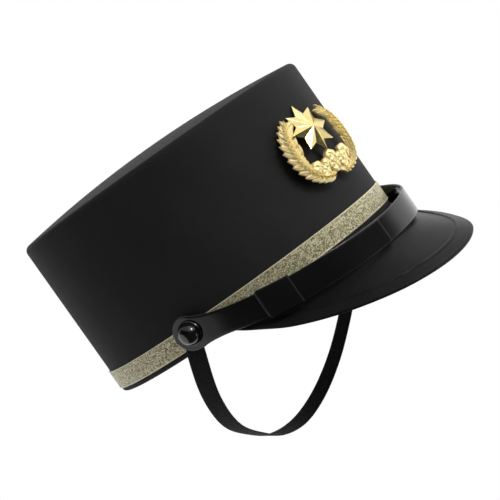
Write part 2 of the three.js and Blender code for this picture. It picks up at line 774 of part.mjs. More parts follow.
// Laurel branches on both sides, in two rows of leaves from the foot to the open top
function wreathLeaves() {
  const leaves = [];
  const step = (LEAF_TO - LEAF_FROM) / (LEAF_PAIRS - 1);
  for (const side of [1, -1]) {
    for (let i = 0; i < LEAF_PAIRS; i += 1) {
      const turn = LEAF_FROM + i * step;
      for (const { from, to, rake, tip } of LEAF_ROWS) {
        const base = wreathPoint(side * radians(turn), from);
        const end = wreathPoint(side * radians(turn + rake), to);
        leaves.push(leaf(base, end, tip));
      }
    }
  }
  return leaves;
}

// Eight-pointed star, each ray with a ridge that runs up to the apex; it leans back at its top
function star() {
  const slope = Math.tan(radians(STAR_LEAN));
  const outline = [];
  for (let i = 0; i < 2 * STAR_POINTS; i += 1) {
    const radius = i % 2 ? STAR_VALLEY : STAR_RADIUS;
    const angle = Math.PI / 2 + (i * Math.PI) / STAR_POINTS;
    outline.push([radius * Math.cos(angle), radius * Math.sin(angle)]);
  }
  const form = raisedFlat(outline, STAR_EDGE - STAR_THICK, STAR_EDGE, [[0, 0, STAR_APEX]]);
  return bentPiece(
    shaped(form, (across, up, depth) => {
      return new THREE.Vector3(across + STAR_SIDE, up + STAR_RISE, depth - up * slope);
    }),
  );
}

// Scalloped cluster that ties the branches together at the foot
function cluster() {
  return LOBES.map(({ across, drop, half, proud }) => {
    const [x, y] = [CLUSTER_HALF_WIDTH * across, -BADGE_HALF_HEIGHT * drop];
    const radius = CLUSTER_HALF_WIDTH * half;
    const rise = CLUSTER_HEIGHT * proud;
    const outline = [];
    for (let i = 0; i < LOBE_STEPS; i += 1) {
      const angle = (i / LOBE_STEPS) * 2 * Math.PI;
      outline.push([x + radius * Math.sin(angle), y - radius * Math.cos(angle)]);
    }
    const top = [[x, y, BADGE_PLATE + rise]];
    return raised(outline, BADGE_PLATE / 2, BADGE_PLATE + rise / 2, top);
  });
}

// Cast badge in one piece with its two posts and the nuts inside the crown
function badge() {
  let cast = wreathBody();
  for (const piece of [...wreathLeaves(), star(), ...cluster()]) cast = cast.add(piece);
  const away = new THREE.Vector3(0, 1, 0);
  const notchFoot = badgePoint(0, -NOTCH_DROP, -STAR_APEX);
  cast = cast.subtract(pin(NOTCH_RADIUS, notchFoot, away.clone().negate(), 3 * STAR_APEX));
  for (const post of badgePosts) {
    const nutInner = CLOTH + GAP;
    cast = cast.add(pin(BADGE_POST_RADIUS, post, away, nutInner + NUT_THICK / 2 - post.y));
    cast = cast.add(pin(NUT_RADIUS, post.clone().setY(nutInner), away, NUT_THICK));
  }
  return geometryOf(cast.simplify(FINEST));
}

const cloth = { color: 0x1b1b1c, roughness: 0.95, metalness: 0 };
const leather = { color: 0x101012, roughness: 0.35, metalness: 0 };
const gloss = { color: 0x08080a, roughness: 0.12, metalness: 0 };
const elastic = { color: 0x141415, roughness: 0.85, metalness: 0 };
const ribbonGold = { color: 0xd9c79a, roughness: 0.5, metalness: 0.6 };
const castGold = { color: 0xd9a441, roughness: 0.25, metalness: 1 };

const cap = new THREE.Group();

function place(name, geometry, look) {
  const mesh = new THREE.Mesh(geometry, new THREE.MeshStandardMaterial(look));
  mesh.name = name;
  cap.add(mesh);
  return mesh;
}

place('crown_wall', crownWall(), cloth);
place('crown_top', crownTop(), cloth);
place('gold_ribbon', goldRibbon(), ribbonGold);
place('visor', visor(), leather);
place('strap_right', frontStrap(1, RIGHT_STRAP_END_TURN, 1), leather);
place('strap_left', frontStrap(-1, -LEFT_STRAP_END_TURN, -1), leather);
place('strap_keeper', strapKeeper(), leather);
place('chin_strap', chinStrap(), elastic);
place('badge', badge(), castGold).position.copy(badgeSeat);

for (const [name, side] of [['button_right', 1], ['button_left', -1]]) {
  const mesh = place(name, button(), gloss);
  const normal = ovalNormal(side * radians(BUTTON_TURN));
  mesh.quaternion.setFromUnitVectors(new THREE.Vector3(0, 1, 0), normal);
  mesh.position.copy(buttonSeat(side));
}

export default cap;
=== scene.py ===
import math

import bmesh
import bpy
import numpy as np
from mathutils import Matrix, Vector


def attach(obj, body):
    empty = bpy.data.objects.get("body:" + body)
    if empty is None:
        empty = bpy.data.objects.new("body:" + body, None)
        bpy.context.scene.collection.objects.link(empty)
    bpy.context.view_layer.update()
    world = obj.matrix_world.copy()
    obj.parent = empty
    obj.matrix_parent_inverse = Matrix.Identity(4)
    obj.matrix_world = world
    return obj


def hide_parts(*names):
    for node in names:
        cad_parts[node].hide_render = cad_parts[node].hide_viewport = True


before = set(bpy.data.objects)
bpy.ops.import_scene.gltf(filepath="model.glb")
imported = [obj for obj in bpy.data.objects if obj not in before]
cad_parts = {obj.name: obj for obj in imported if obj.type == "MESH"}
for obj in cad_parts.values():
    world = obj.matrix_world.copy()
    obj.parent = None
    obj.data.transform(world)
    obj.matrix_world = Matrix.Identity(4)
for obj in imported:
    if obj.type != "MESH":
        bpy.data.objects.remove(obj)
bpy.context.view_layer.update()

MM = 0.001

# Crown
HALF_WIDTH = 91.0
HALF_LENGTH = 99.0
CROWN_HEIGHT = 101.0
TOP_RISE = 6.6
SHOULDER = 4.0
CLOTH = 2.5
HEM_ROUND = 1.9
HEM_EDGE = 0.5
RIM_PITCH = math.radians(0.95)
ROUND_STEPS = 288

# Ribbon
RIBBON_FOOT = 3.1
RIBBON_WIDTH = 11.8
RIBBON_THICK = 0.75
SELVAGE_WIDTH = 0.8
SELVAGE_PROUD = 0.18
RIBBON_EDGE_ROUND = 0.25
RIBBON_LIFT = 0.02

# Visor
VISOR_REACH = 41.0
VISOR_DROP = 36.3
VISOR_TURN = math.radians(61)
VISOR_THICK = 1.6
VISOR_TIP = 0.55
VISOR_TIP_HALF = 0.35
FLANGE_RISE = 8.0
FLANGE_BEND = 1.2
BEAD_INSET = 9.0
BEAD_PROUD = 0.75
BEAD_HALF_WIDTH = 1.0
RIM_PROUD = 0.25
RIM_HALF_WIDTH = 1.2
# Drops of the visor's edge over which the embossed line and the rolled rim fade in
BEAD_FADE = (6, 20)
RIM_FADE = (1, 8)
# Between pieces that lie on each other
GAP = 0.3

# Buttons
BUTTON_TURN = 73.3
BUTTON_HEIGHT = 10.9
BUTTON_RADIUS = 6.2
BUTTON_DOME = 5.8
DOME_SINK = 0.2
GROOVE_WIDTH = 0.1
GROOVE_DEPTH = 0.25
BASE_RADIUS = 7.25
BASE_THICK = 1.4
POST_RADIUS = 1.5
RIVET_RADIUS = 4.5
RIVET_THICK = 1.2

# Front strap and its keeper
STRAP_WIDTH = 15.2
STRAP_THICK = 1.2
STRAP_ROUND = 0.45
STRAP_STEP = 0.7
CUT_EDGE = 0.35
STRAP_STAND_OFF = 13.0
STRAP_DIP = 16.6
# Degrees from the button over which the two halves part
STRAP_PARTS = (6, 26)
TAB_RADIUS = 10.3
TAB_END_HALF = 0.5
# Tab radii from the button between which its outline is smoothed
TAB_WAIST = (-1.3, -0.55)
RIGHT_STRAP_END = 3.3
LEFT_STRAP_END = 44.0
KEEPER_FROM = 38.3
KEEPER_TO = 52.0
KEEPER_CURVE = 3.5
KEEPER_THICK = 0.9
KEEPER_SLACK = 0.12
KEEPER_PLAY = 0.25
KEEPER_LIP = 0.25
KEEPER_EASE = 0.015
KEEPER_OUTER_ROUND = 0.9
KEEPER_INNER_ROUND = 0.35

# Chin strap
CHIN_WIDTH = 11.0
CHIN_THICK = 1.0
CHIN_EDGE_FROM = 0.86
CHIN_EDGE_THIN = 0.55
CHIN_DROP = 78.1
CHIN_SWING = 52.8
CHIN_TAIL = 6.0
CHIN_LEAN = 2.9
CHIN_STEPS = 361

# Badge
BADGE_SEAT = np.array([2.0, -HALF_LENGTH, 55.0])
BADGE_BEND = 360.0
BADGE_LEAN = math.radians(4.4)
BADGE_ROLL = math.radians(-5.5)
BADGE_STAND_OFF = 2.6
PLATE = 0.8
BADGE_HALF_WIDTH = 29.4
BADGE_HALF_HEIGHT = 23.0
WREATH_POWER = 2.37
WREATH_END = 140.0
WREATH_CROWN = 1.35
WREATH_SHOULDER = 1.5
WREATH_INNER = 1.2
WINDOW_HALF_WIDTH = 18.3
WINDOW_HALF_HEIGHT = 17.4
WINDOW_POWER = 3.8
WINDOW_SIDE = 1.6
LEAF_PAST = 2.0
LEAF_PROUD = 1.5
LEAF_FOOT = 1.25
LEAF_RIM = 0.35
LEAF_RIB = 0.3
LEAF_RIB_HALF_WIDTH = 0.2
LEAF_DOME = 0.8
LEAF_RAISED = 0.85
LEAF_FROM = 15.0
LEAF_TO = 130.0
STAR_SIDE = -0.9
STAR_RISE = 9.4
STAR_RADIUS = 15.6
STAR_VALLEY = 9.6
STAR_POINTS = 8
STAR_APEX = 6.1
STAR_EDGE = 2.4
STAR_THICK = 0.9
STAR_LEAN = math.radians(6.5)
STAR_BEVEL = 0.16
CLUSTER_HALF_WIDTH = 17.0
CLUSTER_HEIGHT = 3.0
PETALS = 5
VEINS = 3
SCALLOP = 0.06
PETAL_PROUD = 0.3
VEIN_PROUD = 0.1
ROSETTE_RIM = 0.42
NOTCH_RADIUS = 7.8
NOTCH_DROP = 26.7
LOWER_POST_DROP = 12.5
POST_START = 2.0
BADGE_POST_RADIUS = 1.2
NUT_RADIUS = 3.5
NUT_THICK = 1.5

# How much painted shade, a darker gold, the wreath's hollows take
BODY_PAINTED_SHADE = 0.8
LEAF_PAINTED_SHADE = 0.85
ROSETTE_PAINTED_SHADE = 0.9

# Layers at the buttons, out from the cloth
RIBBON_OUT = 0.9
CHIN_MIDDLE = RIBBON_OUT + GAP + CHIN_THICK / 2
TAB_MIDDLE = CHIN_MIDDLE + CHIN_THICK / 2 + 2 * GAP + STRAP_THICK / 2
BASE_INNER = TAB_MIDDLE + STRAP_THICK / 2 + GAP
STRAP_FRONT_HEIGHT = BUTTON_HEIGHT - STRAP_DIP
LAYER_STEP = (STRAP_THICK + GAP) / 2
PER_DEGREE = math.radians(1) * HALF_LENGTH

# Weaves, in metres of cloth
TWILL_PITCH = 0.00072
TWILL_SLANT = 0.55
WEFT_PITCH = 0.0005
FLOAT_LENGTH = 0.0014
FLOAT_ROW = 0.00074
FLOAT_GAP = 0.00012
RIB_PITCH = 0.0011
WARP_PITCH = 0.0009

# inward, outward: an edge's points, in from its radius and out from its foot
RIVET_EDGE = [(0.3, 0), (0, RIVET_THICK / 2), (0.2, RIVET_THICK)]
BASE_EDGE = [(0.4, 0), (0.1, 0.2), (0, 0.6), (0.15, 1.1), (0.5, BASE_THICK)]
NUT_EDGE = [(0.2, 0), (0, 0.3), (0, 1.2), (0.2, NUT_THICK)]
# turn, reach, drop: shares of the visor's turn, reach and drop
VISOR_OUTLINE = np.array([
    (0, 1, 1),
    (0.246, 0.92, 0.923),
    (0.492, 0.632, 0.713),
    (0.738, 0.335, 0.42),
    (0.88, 0.14, 0.2),
    (0.96, 0.05, 0.08),
    (1, 0.02, 0.01),
])
# out, middle, side: shares of the reach, and of the drop at the front and toward the corners
VISOR_PROFILE = np.array([
    (0, 0, 0),
    (0.15, 0.23, 0.42),
    (0.3, 0.4, 0.6),
    (0.55, 0.615, 0.76),
    (0.78, 0.8, 0.89),
    (0.9, 0.9, 0.95),
    (1, 1, 1),
])
VISOR_BLEND = 1.6
# turn, out, rise, wide: shares of the button's turn, the stand-off, the dip and the width
STRAP_COURSE = np.array([
    (0, 0.9, 0, 0.97),
    (0.27, 1, 0.08, 1),
    (0.55, 0.64, 0.28, 1),
    (0.75, 0.2, 0.55, 0.95),
    (0.89, 0.04, 0.79, 1),
    (1, 0, 1, 1.3),
])
# side, back, down: shares of the half width at the rim, the swing and the drop;
# lean and turn tilt it
CHIN_COURSE = [
    (0.9, 0.375, 0.341, 9, -6),
    (0.716, 0.68, 0.633, 16, -7),
    (0.498, 0.828, 0.818, 22, -8),
    (0.266, 0.956, 0.949, 26, -4),
    (0, 1, 1, 30, 0),
]
# lean, turn at the tail, at the button and at the rim
CHIN_START = [(0, -15), (0, -15), (2, -13)]
# share, depth: the wreath's body from the window's edge out to the foot of the leaves
WREATH_SECTION = [
    (0, 0),
    (0, WREATH_INNER * 0.7),
    (0.04, WREATH_INNER),
    (0.25, WREATH_CROWN),
    (0.5, WREATH_CROWN),
    (0.75, WREATH_SHOULDER),
    (0.97, PLATE),
    (1, PLATE * 0.6),
    (1, 0),
]
# pairs of leaves; start, end: shares of the wreath's breadth; rake in degrees from base to tip;
# slender: width by length; tip, proud: shares of a leaf's height
LEAF_ROWS = [
    (14, 0.44, 1.0, 11, 0.4, 0.5, 1.0),
    (19, 0.36, 0.8, 12, 0.27, 0.8, 1.15),
    (19, 0.66, 0.36, 12, 0.27, 1.0, 1.25),
    (18, 0.48, 0.05, 10, 0.32, 0.9, 1.05),
]
# from_turn, start, to_turn, end: the leaves at each branch's end, curled toward the star
END_LEAVES = [
    (82, 0.12, 104, -0.12),
    (97, 0.15, 120, -0.2),
    (112, 0.3, 135, -0.24),
    (118, 0.45, 143, -0.24),
    (124, 0.6, 150, 0.1),
]
END_SLENDER = 0.3
END_TIP = 0.7
END_PROUD = 1.2
# across, drop, half, proud: shares of the cluster's half width, the badge's half height,
# the cluster's half width and its height
LOBES = [
    (0.02, 0.66, 0.24, 0.73),
    (-0.54, 0.7, 0.24, 0.67),
    (0.56, 0.68, 0.25, 0.67),
    (-0.76, 0.53, 0.24, 0.73),
    (0.8, 0.44, 0.26, 0.73),
    (-0.31, 0.53, 0.2, 0.8),
    (0.42, 0.54, 0.2, 0.8),
    (0.05, 0.42, 0.26, 1.0),
]


# Shapes

def oval(turn, out, height):
    """Points on the crown's oval moved out along its normal; turn runs from front to right."""
    turn, out, height = np.broadcast_arrays(turn, out, height)
    nx, ny = -np.sin(turn) / HALF_WIDTH, -np.cos(turn) / HALF_LENGTH
    length = np.hypot(nx, ny)
    x = -HALF_WIDTH * np.sin(turn) + out * nx / length
    y = -HALF_LENGTH * np.cos(turn) + out * ny / length
    return np.stack([x, y, height], -1).astype(float)


def pitched(points):
    """The rim sits a little higher at the front; that fades out up the crown."""
    points = np.array(points, float)
    start = RIBBON_FOOT + RIBBON_WIDTH
    fade = np.clip((CROWN_HEIGHT - points[..., 2]) / (CROWN_HEIGHT - start), 0, 1)
    points[..., 2] -= points[..., 1] * math.tan(RIM_PITCH) * fade
    return points


def read(table, column, at):
    """Smooth reading of one column of a table at values of its first column."""
    key, value = table[:, 0], table[:, column]
    slope = np.empty(len(key))
    slope[1:-1] = (value[2:] - value[:-2]) / (key[2:] - key[:-2])
    slope[0] = 0
    slope[-1] = (value[-1] - value[-2]) / (key[-1] - key[-2])
    at = np.asarray(at, float)
    i = np.clip(np.searchsorted(key, at, side="right") - 1, 0, len(key) - 2)
    span = key[i + 1] - key[i]
    t = np.clip((at - key[i]) / span, 0, 1)
    return (
        (2 * t**3 - 3 * t**2 + 1) * value[i]
        + (t**3 - 2 * t**2 + t) * span * slope[i]
        + (3 * t**2 - 2 * t**3) * value[i + 1]
        + (t**3 - t**2) * span * slope[i + 1]
    )


def smoothstep(value, low, high):
    """A smooth rise from 0 at the low value to 1 at the high one."""
    t = np.clip((value - low) / (high - low), 0, 1)
    return t * t * (3 - 2 * t)


def unit(vectors):
    """Vectors scaled to length 1."""
    return vectors / np.linalg.norm(vectors, axis=-1, keepdims=True)


def around(steps):
    """Angles round a whole turn."""
    return np.arange(steps) * 2 * math.pi / steps


def quarter(steps):
    """Angles over a quarter of a turn."""
    return np.linspace(0, math.pi / 2, steps)


def bend(radius, steps):
    """A quarter round as pairs: over grows from 0 while down shrinks to 0."""
    return [(radius * (1 - math.cos(a)), radius * (1 - math.sin(a))) for a in quarter(steps)]


def rounded_corners(through, up, ease, steps):
    """The corners of a rounded rectangle, each a list of (through, up) pairs."""
    corners = []
    for side, level in ((1, 1), (-1, 1), (-1, -1), (1, -1)):
        corner = [(side * (through - over), level * (up - down))
                  for over, down in bend(ease, steps)]
        corners.append(corner if side == level else corner[::-1])
    return corners


def skin(rows, closed=False, wrapped=True):
    """Vertices, faces and flat coordinates of a grid of points: rows along, columns round."""
    rows = np.asarray(rows, float)
    n, m = rows.shape[:2]
    along = n if closed else n - 1
    across = m if wrapped else m - 1
    faces, corners = [], []
    for i in range(along):
        for j in range(across):
            a, b = (i + 1) % n, (j + 1) % m
            faces.append((i * m + j, a * m + j, a * m + b, i * m + b))
            corners.append(((i, j), (i + 1, j), (i + 1, j + 1), (i, j + 1)))
    if wrapped and not closed:
        for row, way in ((0, range(m)), (n - 1, range(m - 1, -1, -1))):
            faces.append(tuple(row * m + j for j in way))
            corners.append(tuple((row, j) for j in way))
    lengths = []
    for axis in (0, 1):
        ring = np.concatenate([rows, rows.take([0], axis)], axis)
        steps = np.linalg.norm(np.diff(ring, axis=axis), axis=2).mean(1 - axis)
        lengths.append(np.concatenate([[0], np.cumsum(steps)]))
    flat = [[(lengths[0][i], lengths[1][j]) for i, j in face] for face in corners]
    return rows.reshape(-1, 3), faces, flat


def joined(parts):
    """Several skins as one."""
    points, faces, flat, count = [], [], [], 0
    for p, f, u in parts:
        points.append(p)
        faces += [tuple(i + count for i in face) for face in f]
        flat += u
        count += len(p)
    return np.concatenate(points), faces, flat


def linked(name, data):
    """A new object in the scene."""
    item = bpy.data.objects.new(name, data)
    bpy.context.scene.collection.objects.link(item)
    return item


def piece(name, shape, material, smooth=40, marks=None):
    """A mesh object from a skin in millimetres; edges sharper than smooth degrees stay crisp.

    marks holds values for each point under the name that a material reads.
    """
    points, faces, flat = shape
    mesh = bpy.data.meshes.new(name)
    mesh.from_pydata((points * MM).tolist(), [], faces)
    layer = mesh.uv_layers.new(name="cloth_metres")
    layer.data.foreach_set("uv", (np.array([c for face in flat for c in face]) * MM).ravel())
    for label, values in (marks or {}).items():
        marked = mesh.attributes.new(label, "FLOAT", "POINT")
        marked.data.foreach_set("value", np.asarray(values, np.float32))
    cleaned = bmesh.new()
    cleaned.from_mesh(mesh)
    bmesh.ops.remove_doubles(cleaned, verts=cleaned.verts, dist=1e-6)
    bmesh.ops.recalc_face_normals(cleaned, faces=cleaned.faces)
    cleaned.to_mesh(mesh)
    cleaned.free()
    mesh.polygons.foreach_set("use_smooth", [True] * len(mesh.polygons))
    mesh.set_sharp_from_angle(angle=math.radians(smooth))
    mesh.materials.append(material)
    return linked(name, mesh)


# Materials

def add(tree, kind, settings=None, inputs=None):
    """A node with its settings, and inputs that are numbers or other nodes' outputs."""
    node = tree.nodes.new("ShaderNode" + kind)
    for key, value in (settings or {}).items():
        setattr(node, key, value)
    for key, value in (inputs or {}).items():
        if isinstance(value, bpy.types.NodeSocket):
            tree.links.new(value, node.inputs[key])
        else:
            node.inputs[key].default_value = value
    return node


def sums(tree, operation, *values):
    """The output of a Math node."""
    return add(tree, "Math", {"operation": operation}, dict(enumerate(values))).outputs[0]


def weighted(tree, start, *pairs):
    """A value plus others times their weights."""
    for value, weight in pairs:
        start = sums(tree, "MULTIPLY_ADD", value, weight, start)
    return start


def blend(tree, share, low, high):
    """A colour between two others."""
    node = add(tree, "Mix", {"data_type": "RGBA"}, {0: share, 6: low, 7: high})
    return node.outputs[2]


def ranged(tree, value, low, high, to_low=0.0, to_high=1.0):
    """A value moved smoothly from one range to another."""
    node = add(tree, "MapRange", {"interpolation_type": "SMOOTHSTEP"},
               {0: value, 1: low, 2: high, 3: to_low, 4: to_high})
    return node.outputs[0]


def noise(tree, where, scale, detail, roughness=0.5):
    """Soft noise between 0 and 1."""
    return add(tree, "TexNoise", None, {"Vector": where, "Scale": scale, "Detail": detail,
                                        "Roughness": roughness}).outputs["Fac"]


def mark(tree, label):
    """What piece() wrote for each point under a name."""
    return add(tree, "Attribute", {"attribute_name": label}).outputs["Fac"]


def channel(tree, colour):
    """The first channel of a colour."""
    return add(tree, "SeparateColor", None, {0: colour}).outputs[0]


def grey(value):
    """A colour with three equal channels."""
    return (value, value, value, 1)


def group(name, *numbers):
    """An empty shader group that turns a place and named numbers into a mask."""
    made = bpy.data.node_groups.new(name, "ShaderNodeTree")
    sockets = made.interface
    sockets.new_socket("Where", in_out="INPUT", socket_type="NodeSocketVector")
    for label in numbers:
        sockets.new_socket(label, in_out="INPUT", socket_type="NodeSocketFloat")
    sockets.new_socket("Mask", in_out="OUTPUT", socket_type="NodeSocketFloat")
    given = made.nodes.new("NodeGroupInput").outputs
    return made, given, made.nodes.new("NodeGroupOutput").inputs["Mask"]


def place(tree, made, **inputs):
    """The mask of a group placed in a material."""
    named = {key.capitalize(): value for key, value in inputs.items()}
    return add(tree, "Group", {"node_tree": made}, named).outputs["Mask"]


def build_mottle():
    """Broad soft unevenness between 0 and 1, as cloth and hide have."""
    made, given, mask = group("soft_mottle", "Scale")
    broad = noise(made, given["Where"], given["Scale"], 3.0)
    made.links.new(ranged(made, broad, 0.3, 0.7), mask)
    return made


def build_lint():
    """Sparse tiny specks of lint or dust."""
    made, given, mask = group("lint_specks", "Scale", "Size")
    cells = add(made, "TexVoronoi", None, {"Vector": given["Where"], "Scale": given["Scale"]})
    near = sums(made, "LESS_THAN", cells.outputs["Distance"], given["Size"])
    rare = sums(made, "GREATER_THAN", channel(made, cells.outputs["Color"]), 0.93)
    made.links.new(sums(made, "MULTIPLY", near, rare), mask)
    return made


def build_rubs():
    """Fine rubbed marks on a smooth finish, between 0 and 1."""
    made, given, mask = group("rubbed_marks", "Scale")
    stretched = add(made, "Mapping", None, {"Vector": given["Where"], "Scale": (1, 4, 1)})
    fine = noise(made, stretched.outputs[0], given["Scale"], 6.0, 0.7)
    made.links.new(ranged(made, fine, 0.42, 0.75), mask)
    return made


MOTTLE = build_mottle()
LINT = build_lint()
RUBS = build_rubs()


def look(name, **values):
    """A material, its tree, its Principled shader with plain values, and its coordinates."""
    material = bpy.data.materials.new(name)
    material.use_nodes = True
    tree = material.node_tree
    shader = tree.nodes["Principled BSDF"]
    for key, value in values.items():
        shader.inputs[key.replace("_", " ")].default_value = value
    where = add(tree, "TexCoord").outputs
    return material, tree, shader, where


def wire(tree, shader, tone, roughness=None, relief=None):
    """Links a colour to the shader and, where given, a roughness and (height, strength, depth)."""
    tree.links.new(tone, shader.inputs["Base Color"])
    if roughness is not None:
        tree.links.new(roughness, shader.inputs["Roughness"])
    if relief:
        height, strength, depth = relief
        bump = add(tree, "Bump", None, {"Height": height, "Strength": strength, "Distance": depth})
        tree.links.new(bump.outputs[0], shader.inputs["Normal"])


def waves(tree, value, pitch):
    """A sine wave along a length."""
    return sums(tree, "SINE", sums(tree, "MULTIPLY", value, 2 * math.pi / pitch))


def crown_cloth():
    """Black twill over a stiff body."""
    material, tree, shader, where = look(
        "crown_cloth", Roughness=0.85, Sheen_Weight=0.16, Sheen_Roughness=0.3,
        Specular_IOR_Level=0.14)
    parts = add(tree, "SeparateXYZ", None, {0: where["UV"]}).outputs
    twill = waves(tree, weighted(tree, parts[0], (parts[1], TWILL_SLANT)), TWILL_PITCH)
    weave = weighted(tree, 0.0, (twill, 0.7), (waves(tree, parts[1], WEFT_PITCH), 0.3))
    height = sums(tree, "ADD", weave, noise(tree, where["UV"], 2400.0, 2.0))
    mottle = place(tree, MOTTLE, where=where["Object"], scale=28.0)
    lint = place(tree, LINT, where=where["Object"], scale=700.0, size=0.1)
    tone = blend(tree, mottle, grey(0.0145), grey(0.0195))
    tone = blend(tree, ranged(tree, weave, -1.0, 1.0, 0.0, 0.5), tone, grey(0.037))
    tone = blend(tree, sums(tree, "MULTIPLY", lint, 0.3), tone, grey(0.06))
    wire(tree, shader, tone, relief=(height, 0.3, 0.00012))
    return material


def crown_inside():
    """Plain dark inside of the crown."""
    material, tree, shader, where = look("crown_inside", Roughness=0.95, Sheen_Weight=0.1)
    mottle = place(tree, MOTTLE, where=where["Object"], scale=60.0)
    tone = blend(tree, mottle, grey(0.012), grey(0.019))
    wire(tree, shader, tone, relief=(noise(tree, where["Object"], 900.0, 3.0), 0.3, 0.0003))
    return material


def ribbon_gold():
    """Ribbon woven with metallic thread: short floats in staggered rows, plain selvages."""
    material, tree, shader, where = look("ribbon_gold", Metallic=0.2)
    weave = add(tree, "TexBrick", None,
                {"Vector": where["UV"], "Scale": 1.0, "Color1": grey(0.0), "Color2": grey(1.0),
                 "Mortar": grey(0.3), "Mortar Size": FLOAT_GAP, "Mortar Smooth": 0.6,
                 "Brick Width": FLOAT_LENGTH, "Row Height": FLOAT_ROW})
    tone = channel(tree, weave.outputs["Color"])
    foil = add(tree, "TexVoronoi", None, {"Vector": where["UV"], "Scale": 1700.0})
    glint = ranged(tree, channel(tree, foil.outputs["Color"]), 0.25, 0.75)
    thread = blend(tree, glint, (0.12, 0.09, 0.03, 1), (1.0, 0.95, 0.6, 1))
    bright = blend(tree, glint, (0.42, 0.36, 0.17, 1), (1.0, 0.98, 0.72, 1))
    body = blend(tree, tone, thread, bright)
    gaps = sums(tree, "SUBTRACT", 1.0, weave.outputs["Fac"])
    body = blend(tree, gaps, (0.25, 0.21, 0.1, 1), body)
    edge = sums(tree, "ABSOLUTE", mark(tree, "across"))
    selvage = ranged(tree, edge, 0.86, 0.92)
    body = blend(tree, sums(tree, "MULTIPLY", selvage, 0.8), body, (0.95, 0.88, 0.62, 1))
    height = weighted(tree, gaps, (glint, 0.4))
    wire(tree, shader, body, ranged(tree, glint, 0.0, 1.0, 0.5, 0.3), (height, 0.8, 0.0002))
    return material


def smooth_leather(name, base, roughness, coat, coat_roughness, specular, grain, waviness):
    """Smooth black leather: faint grain under a polish that is rubbed in places; cut edges paler,
    partly their raw grey and partly a painted highlight.
    """
    material, tree, shader, where = look(
        name, Coat_Weight=coat, Coat_Roughness=coat_roughness, Specular_IOR_Level=specular)
    mottle = place(tree, MOTTLE, where=where["Object"], scale=35.0)
    rubs = place(tree, RUBS, where=where["Object"], scale=70.0)
    tone = blend(tree, mottle, grey(base), grey(base * 1.5))
    edge = mark(tree, "edge")
    # cut edges painted paler: partly the raw edge's own grey, partly a painted highlight where
    # light catches them
    tone = blend(tree, edge, tone, grey(0.035))
    worn = weighted(tree, roughness, (rubs, 0.05), (edge, 0.15))
    pores = add(tree, "TexVoronoi", {"feature": "DISTANCE_TO_EDGE"},
                {"Vector": where["Object"], "Scale": 1300.0})
    wavy = noise(tree, where["Object"], 45.0, 2.0)
    fine = ranged(tree, pores.outputs["Distance"], 0.0, 0.12)
    height = weighted(tree, 0.0, (fine, grain), (wavy, waviness))
    wire(tree, shader, tone, worn, (height, 0.2, 0.0002))
    return material


def gloss_black():
    """Polished black of the buttons."""
    material, tree, shader, where = look("button_black", Coat_Weight=0.6, Coat_Roughness=0.04)
    rubs = place(tree, RUBS, where=where["Object"], scale=240.0)
    tone = blend(tree, rubs, grey(0.004), grey(0.009))
    wire(tree, shader, tone, weighted(tree, 0.06, (rubs, 0.06)))
    return material


def elastic_black():
    """Woven elastic: fine ribs across, warp rows along, a firmer edge."""
    material, tree, shader, where = look(
        "elastic_black", Roughness=0.85, Sheen_Weight=0.08, Sheen_Roughness=0.4,
        Specular_IOR_Level=0.15)
    parts = add(tree, "SeparateXYZ", None, {0: where["UV"]}).outputs
    ribs = waves(tree, parts[0], RIB_PITCH)
    weave = weighted(tree, 0.0, (ribs, 0.6), (waves(tree, parts[1], WARP_PITCH), 0.4))
    fuzz = noise(tree, where["Object"], 1500.0, 3.0)
    tone = blend(tree, ranged(tree, weave, -1.0, 1.0), grey(0.005), grey(0.012))
    tone = blend(tree, ranged(tree, fuzz, 0.6, 0.8, 0.0, 0.5), tone, grey(0.03))
    edge = sums(tree, "ABSOLUTE", mark(tree, "across"))
    tone = blend(tree, ranged(tree, edge, 0.86, 0.97, 0.0, 0.7), tone, grey(0.03))
    wire(tree, shader, tone, relief=(sums(tree, "ADD", weave, fuzz), 0.5, 0.00018))
    return material


def cast_gold(name, metallic, roughness, texture, plain, rich):
    """Bright gold plate over a casting, darker in its recesses, where shade is painted."""
    material, tree, shader, where = look(name, Metallic=metallic)
    mottle = place(tree, MOTTLE, where=where["Object"], scale=260.0)
    rubs = place(tree, RUBS, where=where["Object"], scale=300.0)
    shaded_hollow = mark(tree, "shaded_hollow")
    tone = blend(tree, mottle, rich, plain)
    # painted shade: the hollows take a darker gold
    tone = blend(tree, shaded_hollow, tone, (0.93, 0.75, 0.4, 1))
    worn = weighted(tree, roughness, (rubs, 0.1), (shaded_hollow, 0.2))
    pits = noise(tree, where["Object"], 1100.0, 3.0)
    wire(tree, shader, tone, worn, (pits, texture, 0.0002))
    return material


# Pieces

